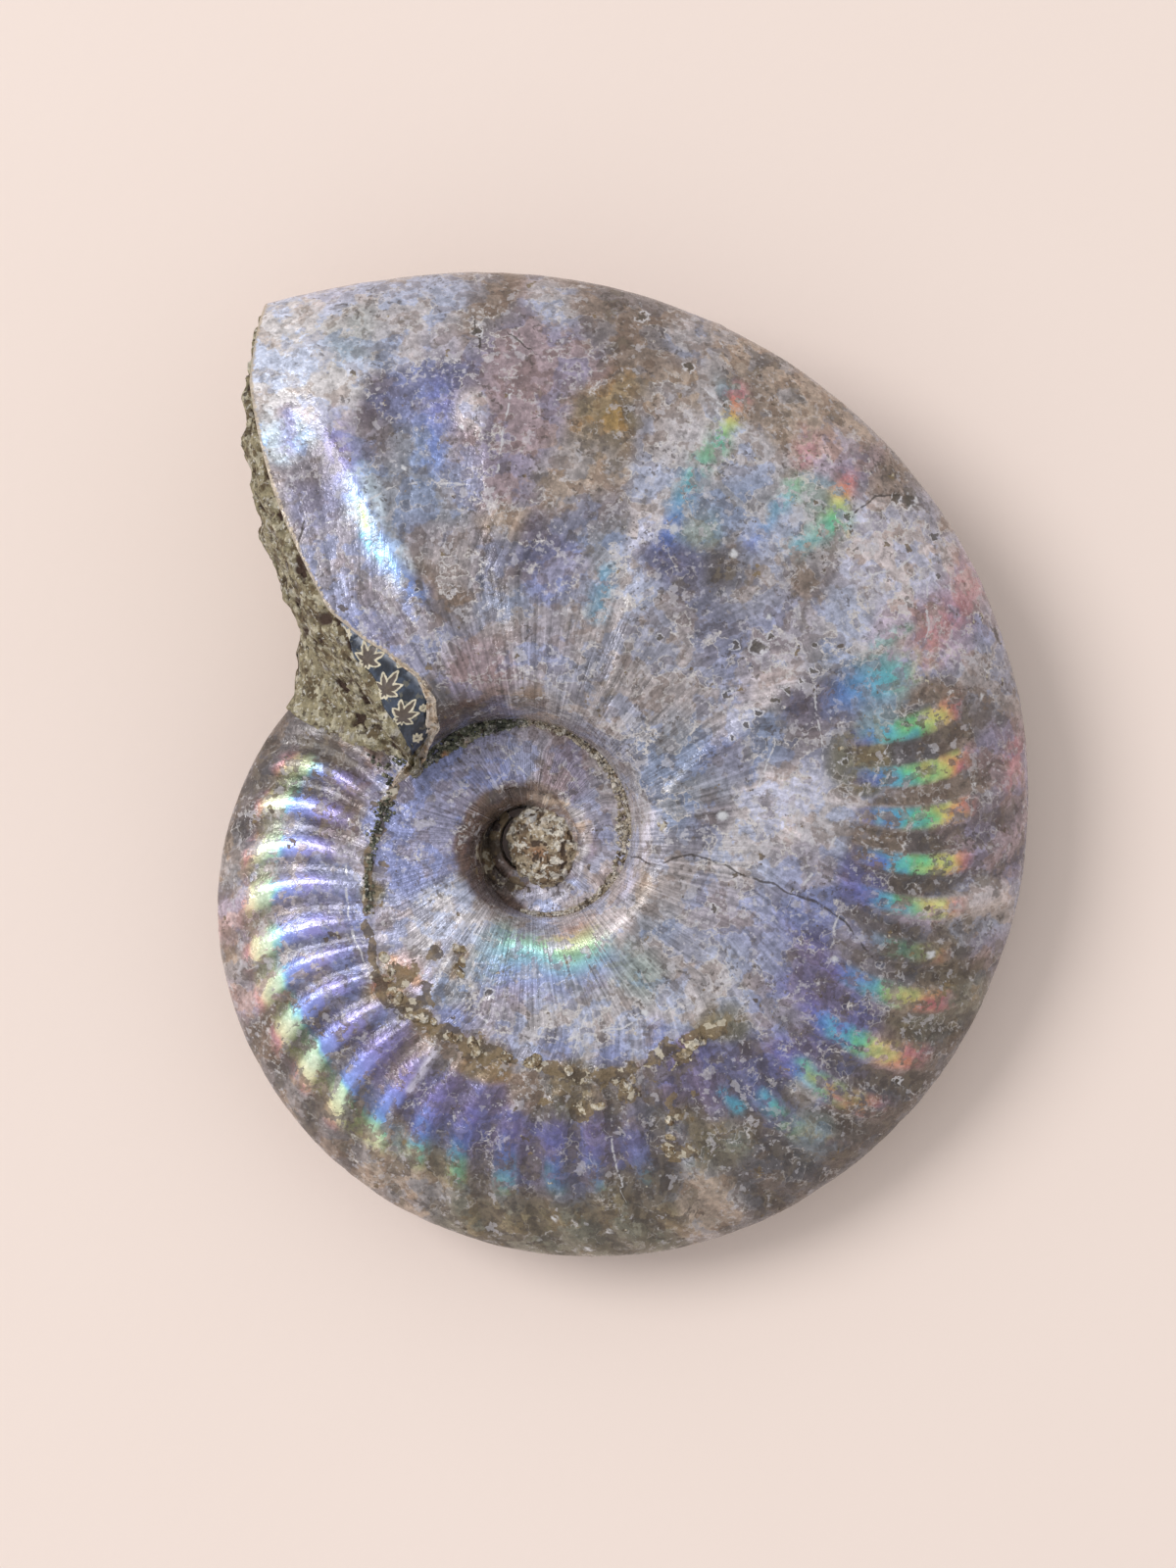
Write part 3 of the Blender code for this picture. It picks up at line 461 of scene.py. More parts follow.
# Patches that stand out, some of them painted shadow: x, y, reach, strength and colour
PATCHES_AND_PAINTED_SHADOWS = (
    (0.8, -4.2, 1.7, 1.0, (210, 214, 238)), (-0.6, -3.8, 1.0, 0.9, (176, 180, 208)),
    (3.0, -3.2, 1.1, 0.9, (178, 182, 206)), (4.1, 0.0, 0.6, 0.9, (214, 202, 194)),
    (4.2, 1.1, 0.6, 0.9, (222, 208, 200)), (4.0, 2.2, 0.6, 0.9, (222, 208, 200)),
    (3.5, 3.3, 0.6, 0.9, (218, 204, 194)), (2.6, 4.2, 0.6, 0.9, (218, 204, 192)),
    (1.4, 4.7, 0.6, 0.9, (210, 196, 184)), (0.2, 4.8, 0.6, 0.7, (190, 172, 160)),
    # Painted shadow: the dark brown band above the seam, from (-8.2, 12.2) to (0.2, 13.4)
    (3.8, -1.2, 0.6, 0.8, (206, 196, 196)), (-8.2, 12.2, 1.3, 0.7, (88, 72, 60)),
    (-5.6, 13.0, 1.5, 0.7, (84, 68, 58)), (-2.8, 13.5, 1.4, 0.6, (102, 84, 74)),
    (0.2, 13.4, 1.3, 0.4, (120, 102, 92)), (-6.3, -8.6, 0.6, 0.8, (116, 98, 78)),
    # Painted shadow: the dark hollow left of the sediment plug, from (-3.8, 0.4) to (-3.2, 2.8)
    (-6.6, -10.0, 0.6, 0.8, (124, 106, 84)), (-3.8, 0.4, 1.6, 0.9, (66, 54, 46)),
    (-3.0, -2.0, 1.2, 0.8, (62, 50, 42)), (-3.2, 2.8, 1.3, 0.7, (80, 66, 56)),
    (23.2, -20.7, 1.3, 0.8, (158, 158, 164)), (37.4, -5.8, 1.9, 0.6, (146, 140, 138)),
    (40.0, -5.0, 1.5, 0.6, (150, 144, 142)), (7.6, 37.2, 1.6, 0.7, (140, 118, 72)),
    (4.4, 38.4, 1.0, 0.5, (134, 116, 84)), (-10.4, -10.6, 0.9, 0.9, (186, 142, 106)),
    (-12.2, -9.4, 0.7, 0.7, (168, 128, 100)), (-12.6, -11.4, 0.8, 0.7, (150, 96, 76)),
    (-11.4, -13.2, 0.9, 0.7, (140, 104, 76)), (-9.4, -14.6, 1.0, 0.7, (128, 106, 80)),
    (-6.4, -16.4, 1.1, 0.6, (116, 102, 82)), (3.0, -19.6, 1.6, 0.6, (104, 92, 76)),
    (13.8, -16.4, 0.9, 0.6, (134, 88, 70)), (-8.0, -8.0, 0.6, 0.8, (150, 128, 104)),
    (16.2, 24.6, 1.6, 0.5, (84, 74, 70)), (33, -12.6, 1.6, 0.4, (92, 86, 78)),
    (-15.2, 8.0, 1.6, 0.6, (104, 90, 82)), (-19.8, 5.2, 1.6, 0.5, (108, 94, 86)),
)
# Low ridges and steps of the growing edge: half-width and height, then points on the chart
RIDGES = (
    (0.3, 0.05, (-4.8, 44.6), (-4.4, 40), (-4.0, 35.6), (-3.8, 32)),
    (0.4, 0.12, (15.8, 45.2), (16.4, 41.6), (16.8, 38.6)),
    (0.5, -0.12, (17.2, 41.8), (17.6, 38.4), (17.2, 34.6)),
    (0.5, 0.16, (16.4, 9.2), (20.2, 13), (24.8, 16.2)),
    (0.35, 0.08, (26, 17.4), (30, 18.6), (33.4, 18.8)),
    (0.3, 0.14, (-6.4, -7.6), (-7.8, -10.2), (-8.6, -12)),
    (0.3, 0.08, (30.3, 8.9), (27.6, 4.6), (24.6, -1)),
    (0.35, 0.10, (17.3, -10.6), (10.3, -14.3), (2.7, -16.0), (-4, -14.4)),
)


def mix(first, second, share):
    """From first to second by this share, which may be an array."""
    return first + (second - first) * share


def smoothstep(low, high, value):
    """0 below low, 1 above high, and a smooth rise between them."""
    share = np.clip((value - low) / (high - low), 0.0, 1.0)
    return share * share * (3 - 2 * share)


def along(points, value):
    """The value on straight runs between (place, value) points."""
    places, values = zip(*points)
    return np.interp(value, places, values)


def hump(distance, width):
    """1 where the distance is 0, and almost 0 by twice the width."""
    return np.exp(-((distance / width) ** 2))


def edge_radius(back):
    """How far the coil's outer edge is from its axis."""
    young = np.minimum(back, YOUTH)
    slowing = (GROWTH_IN_YOUTH - GROWTH_AT_APERTURE) / (2 * YOUTH)
    grown = GROWTH_AT_APERTURE * young + slowing * young * young + GROWTH_IN_YOUTH * (back - young)
    return APERTURE_RADIUS * np.exp(-grown) + APERTURE_FLARE * np.exp(-np.maximum(back, 0.0) / FLARE_REACH)


def seam_radius(back):
    """How far the umbilical seam is from the axis."""
    share = mix(SEAM_SHARE_AT_APERTURE, SEAM_SHARE_IN_YOUTH, np.clip(back / YOUTH, 0.0, 1.0))
    return np.maximum(share * edge_radius(back), PLUG_RADIUS)


def covered_share(back):
    """Where on the whorl's flank the next whorl's seam lies."""
    seam = seam_radius(back)
    return (seam_radius(back - TURN) - seam) / (edge_radius(back) - seam)


def rib_lean(share):
    """How many degrees a rib sweeps forward from where it runs backmost."""
    return RIB_SWEEP * (np.maximum(share, RIB_INNER_END) - RIB_BACKMOST) ** 2


def rib_crest(back, share):
    """1 on the crest of a rib and -1 between two."""
    turn = np.interp(back + rib_lean(share), RIB_CRESTS, range(len(RIB_CRESTS)))
    return np.cos(math.tau * turn)


def rib_relief(back, share):
    """How high the ribs stand, on the outer flank and over part of the coil."""
    across = smoothstep(RIB_INNER_END, RIB_FULL_FROM, share) * smoothstep(RIB_OUTER_END, RIB_FULL_TO, share)
    where = smoothstep(RIBS_BEGIN, RIBS_FULL_FROM, back) * smoothstep(RIBS_END, RIBS_FULL_TO, back)
    size = edge_radius(back) / edge_radius(RIB_HEIGHT_IS_AT)
    return RIB_HEIGHT * size * across * where * rib_crest(back, share)


def fold_relief(back, share):
    """How high the broad folds stand in front of the ribs."""
    swept = back - FOLD_SWEEP * np.exp(-share / FOLD_SWEEP_REACH)
    across = smoothstep(0.0, FOLD_FULL_FROM, share) * smoothstep(1.0, FOLD_FULL_TO, share)
    return across * sum(height * hump(swept - middle, width) for middle, height, width in FOLDS)


def flank_height(back, share):
    """How high the flank is over the middle plane, with its ribs and folds."""
    half = HALF_THICKNESS_SHARE * edge_radius(back)
    flank = half * np.maximum(1 - share**FLANK_POWER, 0.0) ** EDGE_POWER
    height = np.maximum(flank + rib_relief(back, share) + fold_relief(back, share), 0.0)
    return np.where(share < 1, height, 0.0)


def foot_height(back):
    """How high over the middle plane the whorl's seam lies: on the whorl inside it, or on the plug."""
    on_whorl = flank_height(back + TURN, covered_share(back + TURN))
    return np.where(back > TURN - BREAK_AT_SEAM, PLUG_LEVEL, on_whorl)


def surface_height(back, share):
    """The flank's height, with the rounded shoulder down to the seam."""
    height = flank_height(back, share)
    rise = np.sqrt(1 - (1 - np.minimum(share / SHOULDER, 1.0)) ** 2)
    return mix(foot_height(back), height, rise)


def placed(back, radius, height):
    """The points at these coil angles, distances from the axis and heights over the middle plane."""
    bearing = np.radians(APERTURE_BEARING - back)
    offset = hump(radius, UMBILICUS_REACH)
    flat = np.stack([radius * np.cos(bearing), radius * np.sin(bearing), height + 0 * bearing], axis=-1)
    return flat + offset[..., None] * np.array(UMBILICUS_OFFSET)


def whorl_points(back, share, side, sunk=0.0):
    """Points on the whorl, or sunk into it: side is 1 above, -1 below, and between on the inner wall."""
    seam, edge = seam_radius(back), edge_radius(back)
    sunk = sunk * smoothstep(0.0, SHELL_FULL_FROM, share)
    height = np.maximum(surface_height(back, share) - sunk, 0.0)
    inner = 1 - 0.06 * (1 - np.abs(side))
    return placed(back, inner * mix(seam, edge, share) - sunk * share, side * height)


def shell_edge(share, side):
    """How many degrees ahead the broken edge of the shell is."""
    return np.where(side > 0, along(SHELL_EDGE_ABOVE, share), along(SHELL_EDGE_BELOW, share))


def mould_edge(share, side):
    """How many degrees ahead the chamber's cast ends and its sediment shows."""
    return np.maximum(along(MOULD_EDGE, share), shell_edge(share, side) + MOULD_STANDS_OUT)


def clouds(places, size, seed=0, octaves=1):
    """Smooth noise of about -1 to 1, with lumps of this size in millimetres."""
    shift = Vector((17.3 * seed, 5.1 * seed, 9.7 * seed))
    flat = (places.reshape(-1, 3) / size).tolist()
    if octaves > 1:
        values = [noise.fractal(Vector(place) + shift, 0.9, 2.1, octaves) for place in flat]
    else:
        values = [noise.noise(Vector(place) + shift) for place in flat]
    return np.array(values).reshape(places.shape[:-1])


def chart(points, side):
    """Where points are seen from over the coil's axis. The underside has the same chart, turned round."""
    scale = CAMERA_AWAY / (CAMERA_AWAY - np.abs(points[..., 2]))
    x, y = points[..., 0] * scale, points[..., 1] * scale
    turned = np.radians(UNDERSIDE_TURN)
    below_x = x * np.cos(turned) - y * np.sin(turned)
    below_y = x * np.sin(turned) + y * np.cos(turned)
    return np.where(side > 0, x, below_x), np.where(side > 0, y, below_y)


def ragged(points, x, y, amount, size, seed):
    """Places on the chart pushed about by clouds, so that what is drawn there gets a ragged edge."""
    return x + amount * clouds(points, size, seed), y + amount * clouds(points, size, seed + 1)


def line_distance(x, y, points):
    """Each place's distance from a line through the points, and how far along it that is, from 0 to 1."""
    nearest = np.full(x.shape, 1e9)
    share = np.zeros(x.shape)
    runs = list(zip(points, points[1:]))
    for index, ((ax, ay), (bx, by)) in enumerate(runs):
        length = (bx - ax) ** 2 + (by - ay) ** 2
        part = np.clip(((x - ax) * (bx - ax) + (y - ay) * (by - ay)) / length, 0, 1)
        distance = np.hypot(x - ax - part * (bx - ax), y - ay - part * (by - ay))
        share = np.where(distance < nearest, (index + part) / len(runs), share)
        nearest = np.minimum(nearest, distance)
    return nearest, share


def linear(colour):
    """A colour out of 255 as the renderer counts it."""
    part = np.array(colour, float) / 255
    return np.where(part <= 0.04045, part / 12.92, ((part + 0.055) / 1.055) ** 2.4)


def spread(x, y, spots):
    """How strongly (x, y, reach, strength) spots cover each place."""
    cover = np.zeros(x.shape)
    for across, up, reach, strength in spots:
        cover = np.maximum(cover, strength * np.exp(-(((x - across) ** 2 + (y - up) ** 2) / reach**2)))
    return cover


def broad_colour(x, y):
    """The daubs run into one another like wet paint."""
    total = np.full(x.shape + (3,), 1e-6) * linear(PALETTE["grey"])
    weight = np.full(x.shape, 1e-6)
    for name, daubs in DAUBS.items():
        for across, up, reach in daubs:
            near = np.exp(-1.1 * ((x - across) ** 2 + (y - up) ** 2) / reach**2) + 1e-7
            weight += near
            total += near[..., None] * linear(PALETTE[name])
    return total / weight[..., None]


def spectrum(hue):
    """The colours of the spectrum, from violet at 0 to pink at 1."""
    stops = [stop for stop, _ in SPECTRUM]
    colours = np.array([linear(colour) for _, colour in SPECTRUM])
    return np.stack([np.interp(hue, stops, colours[:, part]) for part in range(3)], axis=-1)


def section_starts():
    """The coil angles at which the shell's sections start, before they lean."""
    starts = [0.0]
    while starts[-1] < COIL_ENDS_AT:
        pace = along(SECTION_PACE, starts[-1])
        starts.append(starts[-1] + math.degrees(pace / float(edge_radius(starts[-1]))))
    return np.array(starts)


def leaning(start, share, side):
    """Sections lean to run along the broken edge near it, and along the ribs where there are ribs."""
    to_edge = smoothstep(FRONT_FADE, 0.0, start)
    to_ribs = smoothstep(LEAN_TO_RIBS_FROM, RIBS_BEGIN, start)
    to_ribs = to_ribs * smoothstep(LAST_FREE_SECTION, LEAN_TO_RIBS_UNTIL, start)
    return start - to_edge * shell_edge(share, side) - to_ribs * rib_lean(share)


def even_shares(count):
    """Shares of the flank that lie evenly along a typical section, the steep shoulder and edge too."""
    share = np.sin(np.linspace(0, math.pi / 2, 4000)) ** 2
    radius = mix(seam_radius(TYPICAL_SECTION), edge_radius(TYPICAL_SECTION), share)
    height = surface_height(np.full(share.shape, TYPICAL_SECTION), share)
    length = np.concatenate([[0.0], np.cumsum(np.hypot(np.diff(radius), np.diff(height)))])
    return np.interp(np.linspace(0, length[-1], count + 1), length, share)


def section_rows():
    """The share and side of each row round a section: out above, in below, and up the inner wall."""
    above, below = even_shares(ROWS_ABOVE), even_shares(ROWS_BELOW)[::-1][1:]
    share = np.concatenate([above, below, np.zeros(len(INNER_WALL))])
    side = np.concatenate([np.ones(len(above)), -np.ones(len(below)), INNER_WALL[::-1]])
    return share, side


def outward(points, closed=True):
    """The normals of a sheet of points whose rows go round."""
    down = np.gradient(points, axis=0)
    if closed:
        across = np.roll(points, -1, axis=1) - np.roll(points, 1, axis=1)
    else:
        across = np.gradient(points, axis=1)
    normal = np.cross(down, across)
    return normal / np.maximum(np.linalg.norm(normal, axis=-1, keepdims=True), 1e-9)


def shell_relief(points, back, share, side):
    """The small forms of the shell's surface, in millimetres out of it."""
    x, y = chart(points, side)
    growth = back + rib_lean(share)
    lines = np.stack([growth / 1.4, share * 2.0 + 7.0, side * 9.0], axis=-1)
    relief = 0.09 * clouds(points, 7.0, 1) + 0.05 * clouds(points, 2.6, 2) + 0.02 * clouds(points, 1.1, 3)
    relief += 0.035 * clouds(lines, 1.0, 4) * smoothstep(0.02, 0.2, share)
    for across, up, reach, height in SWELLINGS:
        relief += height * np.exp(-(((x - across) ** 2 + (y - up) ** 2) / reach**2))
    x, y = ragged(points, x, y, 0.3, 1.5, 5)
    for width, height, *line in RIDGES:
        relief += height * hump(line_distance(x, y, line)[0], width)
    for across, up, reach, depth, rim in PITS:
        distance = np.hypot(x - across, y - up) / reach
        relief += rim * hump(distance - RIM_AT, RIM_WIDTH) - depth * hump(distance, 1.0)
    for width, *line in CRACKS:
        relief -= CRACK_DEPTH * hump(line_distance(x, y, line)[0], 3 * width)
    crust = crust_cover(x, y)
    relief += crust * (0.08 + 0.16 * clouds(points, 0.9, 8) + 0.14 * clouds(points, 1.8, 9))
    hollow = smoothstep(HOLLOW_RADIUS, HOLLOW_RADIUS - HOLLOW_WALL, hollow_distance(x, y))
    relief -= HOLLOW_DEPTH * hollow * (back > TURN)
    return relief * smoothstep(0.0, 0.04, share) * (np.abs(side) == 1)


def crust_cover(x, y):
    """How much crust covers places on the chart."""
    cover = spread(x, y, CRUST)
    for width, strength, *line in CRUST_LINES:
        cover = np.maximum(cover, strength * hump(line_distance(x, y, line)[0], width))
    return cover


def shell_sheet():
    """The coiled shell's points in rows and sections, with each one's coil angle, share and side."""
    starts = section_starts()[:, None]
    share, side = (row[None, :] for row in section_rows())
    back = leaning(starts, share, side)
    points = whorl_points(back, share + 0 * back, side)
    relief = shell_relief(points, back, share + 0 * back, side + 0 * back)
    points = points + relief[..., None] * outward(points)
    wall = whorl_points(back[:1], share, side, SHELL_THICKNESS)
    within = whorl_points(back[:1] + TUCKED_BACK, share, side, SHELL_THICKNESS + TUCKED_UNDER)
    points = np.concatenate([within, wall, points])
    back = np.concatenate([back[:1], back[:1], back])
    return points, back, share + 0 * back, side + 0 * back


def over(colour, cover, new_colour, new_cover):
    """Lay a colour with its cover over another."""
    total = 1 - (1 - cover) * (1 - new_cover)
    kept = (cover * (1 - new_cover) / np.maximum(total, 1e-6))[..., None]
    return colour * kept + new_colour * (1 - kept), total


def rib_rainbow(points, back, share):
    """The spectrum over the ribs, with painted crest highlights and shade between crests, and how strong it
    is.
    """
    hue = (share - along(RAINBOW_INNER, back)) / along(RAINBOW_WIDTH, back)
    brilliance = along(BRILLIANCE, back)
    hue = hue + mix(0.15, 0.06, brilliance) * clouds(points, 1.5, 11) + 0.07 * clouds(points, 0.7, 12)
    hue = np.clip(mix(hue, along(BRILLIANT_HUES, hue), brilliance), 0, 1)
    crest = smoothstep(mix(-0.3, -0.7, brilliance), 0.8, rib_crest(back, share))
    outer = along(RAINBOW_OUTER, back)
    cover = smoothstep(mix(0.5, 0.44, brilliance), mix(0.66, 0.72, brilliance), share)
    cover = cover * smoothstep(outer + 0.06, outer - 0.02, share)
    cover = cover * along(RAINBOW_STRENGTH, back) * mix(crest, mix(0.55, 1, crest), brilliance)
    colour = spectrum(hue)
    # Painted highlight and shade: the brilliant ribs lit up and whitened on their crests, darkened between
    # them
    bright = mix(along(DIM_GLOW, back), mix(0.3, 1.5, crest), brilliance)
    white = brilliance * crest * (0.15 + 0.4 * hump(hue - 0.56, 0.2))
    colour = mix(colour * bright[..., None], linear((248, 246, 248)), white[..., None])
    return np.minimum(colour, 1.0), np.where(back < TURN, cover, 0)


def fringe(x, y):
    """The fine spectrum round the foot of the umbilical shoulder."""
    across, up = x - FRINGE_AT[0], y - FRINGE_AT[1]
    radius = np.hypot(across, up)
    bearing = np.degrees(np.arctan2(up, across))
    within = smoothstep(FRINGE_FROM, FRINGE_FROM + 2 * FRINGE_FADE, bearing)
    within = within * smoothstep(FRINGE_TO + FRINGE_FADE, FRINGE_TO - FRINGE_FADE, bearing)
    within = within * smoothstep(FRINGE_INNER - 0.5, FRINGE_INNER + 1.2, radius)
    within = within * smoothstep(FRINGE_OUTER, FRINGE_OUTER - 4, radius)
    outwards = (radius - FRINGE_INNER) / (FRINGE_OUTER - FRINGE_INNER)
    hue = 0.82 - 0.95 * outwards - 0.3 * smoothstep(-68.0, -92.0, bearing) * (1 - outwards)
    return mix(spectrum(np.clip(hue, 0, 1)), linear((232, 232, 226)), 0.25), 0.88 * within


def glow(points, back, share, side):
    """The shell's play of colour with painted highlights over it: its hue, and how much of it there is."""
    x, y = chart(points, side)
    colour, cover = rib_rainbow(points, back, share)
    colour, cover = over(colour, cover, *fringe(x, y))
    ragged_x, ragged_y = ragged(points, x, y, 0.5, 1.4, 13)
    for width, strength, first, last, *line in STREAKS:
        distance, part = line_distance(ragged_x, ragged_y, line)
        hue = mix(first, last, part)
        colour, cover = over(colour, cover, spectrum(hue), strength * hump(distance, width))
    # Painted highlights laid over the play of colour
    for width, strength, tone, *line in PAINTED_HIGHLIGHTS:
        distance, _ = line_distance(mix(x, ragged_x, 0.4), mix(y, ragged_y, 0.4), line)
        colour, cover = over(colour, cover, linear(tone), strength * hump(distance, width))
    return np.concatenate([colour, cover[..., None]], axis=-1)


def hollow_distance(x, y):
    """How far places are from the middle of the hollow."""
    return np.hypot(x - HOLLOW_AT[0], y - HOLLOW_AT[1])


def tint(points, side):
    """The shell's colour: broad daubs, the hollow's wall and patches, with painted light and shade among
    them.
    """
    x, y = chart(points, side)
    from_middle = hollow_distance(x, y) + 0.3 * clouds(points, 1.5, 27)
    # Painted shade on the hollow's wall: darkest on its left and top, palest on its right
    bearing = np.degrees(np.arctan2(y - HOLLOW_AT[1], x - HOLLOW_AT[0]))
    bearings, tones = zip(*HOLLOW_WALL_TONES_AND_SHADE)
    parts = zip(*(linear(tone) for tone in tones))
    wall = np.stack([np.interp(bearing, bearings, part) for part in parts], axis=-1)
    x = x + 1.0 * clouds(points, 4.0, 21) + 0.5 * clouds(points, 1.4, 22)
    y = y + 1.0 * clouds(points, 4.0, 23) + 0.5 * clouds(points, 1.4, 24)
    on_wall = smoothstep(HOLLOW_RADIUS + 0.5, HOLLOW_RADIUS - 0.2, from_middle)
    tones = mix(broad_colour(x, y), wall, on_wall[..., None])
    for across, up, reach, strength, tone in PATCHES_AND_PAINTED_SHADOWS:
        cover = strength * smoothstep(1.2, 0.6, np.hypot(x - across, y - up) / reach)
        tones = mix(tones, linear(tone), cover[..., None])
    return np.concatenate([tones, np.ones(x.shape + (1,))], axis=-1)


def wear(points, back, share, side):
    """How worn, stained (with some painted shadow) and crusted the shell is, and how near its broken edge.
    """
    x, y = chart(points, side)
    x, y = ragged(points, x, y, 0.4, 1.8, 25)
    radius = mix(seam_radius(back), edge_radius(back), share)
    edge = (back + shell_edge(share, side)) * math.radians(1) * radius
    edge = np.where(back < TURN / 4, hump(edge, EDGE_WEAR), 0)
    return np.stack([spread(x, y, WORN), spread(x, y, STAINS_AND_SHADOW), crust_cover(x, y), edge], axis=-1)


def signed_distance(x, y, lines):
    """Distance from the nearest of the lines: negative on one side of it, and so 0 on the line."""
    nearest = np.full(x.shape, FAR)
    for line in lines:
        for (ax, ay), (bx, by) in zip(line, line[1:]):
            distance, _ = line_distance(x, y, ((ax, ay), (bx, by)))
            turn = np.where((bx - ax) * (y - ay) - (by - ay) * (x - ax) < 0, -1.0, 1.0)
            nearest = np.where(distance < np.abs(nearest), distance * turn, nearest)
    return nearest


def markings(points, back, share, side):
    """Distances from cracks and from pale lines, pale dots, and how much a place is a rib's valley."""
    x, y = ragged(points, *chart(points, side), 0.3, 1.5, 5)
    cracks = signed_distance(x, y, [line for _, *line in CRACKS])
    dots = spread(x, y, [(*dot, 1.0) for dot in PALE_DOTS])
    ribbed = smoothstep(RIBS_BEGIN, RIBS_FULL_FROM, back) * smoothstep(RIBS_END, RIBS_FULL_TO, back)
    valley = ribbed * smoothstep(0.4, 0.6, share) * smoothstep(0.2, -0.8, rib_crest(back, share))
    return np.stack([cracks, signed_distance(x, y, PALE_LINES), dots, valley], axis=-1)


def leant(size):
    """How the fossil leans where it lies, as a matrix of this size."""
    about_x = Matrix.Rotation(math.radians(LEAN_ABOUT_X), size, "X")
    return Matrix.Rotation(math.radians(LEAN_ABOUT_Y), size, "Y") @ about_x


def laid_down(points):
    """Coil millimetres to metres where the fossil lies, worn flat where it touches the surface."""
    at_rest = points.reshape(-1, 3) @ np.array(leant(3)).T + np.array(AXIS_AT_REST)
    at_rest[:, 2] = np.maximum(at_rest[:, 2], 0.0)
    return at_rest * MM


def only(obj):
    """Make this the one object that operators act on."""
    bpy.ops.object.select_all(action="DESELECT")
    obj.select_set(True)
    bpy.context.view_layer.objects.active = obj


def named(name):
    """The object that was just added, as a piece of this name."""
    obj = bpy.context.object
    obj.name = obj.data.name = name
    return obj


def shape(obj, points):
    """Move the piece's vertices to these places, which are in metres."""
    obj.data.vertices.foreach_set("co", points.astype(np.float32).ravel())
    obj.data.update()


def vertices(obj):
    """Where the piece's vertices are, in metres."""
    points = np.zeros(len(obj.data.vertices) * 3, np.float32)
    obj.data.vertices.foreach_get("co", points)
    return points.reshape(-1, 3)


def hold(obj, **held):
    """Keep values for each vertex, which the piece's material reads. Colours have four parts."""
    for name, values in held.items():
        kind, key = ("FLOAT_COLOR", "color") if values.shape[-1] == 4 else ("FLOAT_VECTOR", "vector")
        attribute = obj.data.attributes.new(name, kind, "POINT")
        attribute.data.foreach_set(key, values.astype(np.float32).ravel())


def keep_over_floor(obj):
    """Wear flat what would reach under the surface that the fossil lies on."""
    points = vertices(obj)
    points[:, 2] = np.maximum(points[:, 2], 0.0)
    shape(obj, points)


def close_ends(obj, row_count):
    """Fill the first and last sections, and turn all faces outwards."""
    only(obj)
    count = len(obj.data.vertices)
    for first in (0, count - row_count):
        bpy.ops.object.mode_set(mode="EDIT")
        bpy.ops.mesh.select_mode(type="VERT")
        bpy.ops.mesh.select_all(action="DESELECT")
        bpy.ops.object.mode_set(mode="OBJECT")
        for vertex in obj.data.vertices[first : first + row_count]:
            vertex.select = True
        bpy.ops.object.mode_set(mode="EDIT")
        bpy.ops.mesh.edge_face_add()
        bpy.ops.mesh.quads_convert_to_tris()
        bpy.ops.object.mode_set(mode="OBJECT")
    face_outwards(obj)


def face_outwards(obj):
    """Turn all faces of the piece outwards."""
    only(obj)
    bpy.ops.object.mode_set(mode="EDIT")
    bpy.ops.mesh.select_all(action="SELECT")
    bpy.ops.mesh.normals_make_consistent(inside=False)
    bpy.ops.object.mode_set(mode="OBJECT")


def apply_modifier(obj, kind, **settings):
    """Give the piece a modifier with these settings, and apply it."""
    only(obj)
    modifier = obj.modifiers.new(kind.lower(), kind)
    for name, value in settings.items():
        setattr(modifier, name, value)
    bpy.ops.object.modifier_apply(modifier=modifier.name)


def finish_piece(obj, material, angle=60):
    """Dress a piece in its material and fix it to the fossil's body."""
    keep_over_floor(obj)
    only(obj)
    obj.data.materials.clear()
    obj.data.materials.append(material)
    bpy.ops.object.shade_smooth_by_angle(angle=math.radians(angle))
    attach(obj, "root")


def coiled_shell(sheet, material):
    """A loop as the whorl's section, swept by a screw and then grown section by section into the coil."""
    points, back, share, side = sheet
    sections, rows = back.shape
    upright = (math.pi / 2, 0, 0)
    aside = (1.5 * ROUGH_SIZE, 0, 0)
    bpy.ops.mesh.primitive_circle_add(vertices=rows, radius=ROUGH_SIZE, location=aside, rotation=upright)
    shell = named("nacre_shell")
    bpy.ops.object.transform_apply(location=True, rotation=True, scale=True)
    steps, most_of_a_turn = sections - 1, math.radians(350)
    apply_modifier(shell, "SCREW", steps=steps, render_steps=steps, angle=most_of_a_turn, axis="Z")
    shape(shell, laid_down(points))
    close_ends(shell, rows)
    x, y = chart(points, side)
    hold(
        shell,
        growth=np.stack([back + rib_lean(share), share, side], axis=-1),
        tint=tint(points, side),
        glow=glow(points, back, share, side),
        wear=wear(points, back, share, side),
        markings=markings(points, back, share, side),
        chart=np.stack([x, y, 0 * x], axis=-1),
    )
    finish_piece(shell, material)
    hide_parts("ammonite")


class Value:
    """A number or colour in a finish, which sums can be written with."""

    def __init__(self, finish, socket):
        self.finish, self.socket = finish, socket

    def __add__(self, other):
        return self.finish.maths("ADD", self, other)

    def __sub__(self, other):
        return self.finish.maths("SUBTRACT", self, other)

    def __rsub__(self, other):
        return self.finish.maths("SUBTRACT", other, self)

    def __mul__(self, other):
        return self.finish.maths("MULTIPLY", self, other)

    def __truediv__(self, other):
        return self.finish.maths("DIVIDE", self, other)

    def __rtruediv__(self, other):
        return self.finish.maths("DIVIDE", other, self)

    def __abs__(self):
        return self.finish.maths("ABSOLUTE", self, 0.0)

    __radd__ = __add__
    __rmul__ = __mul__


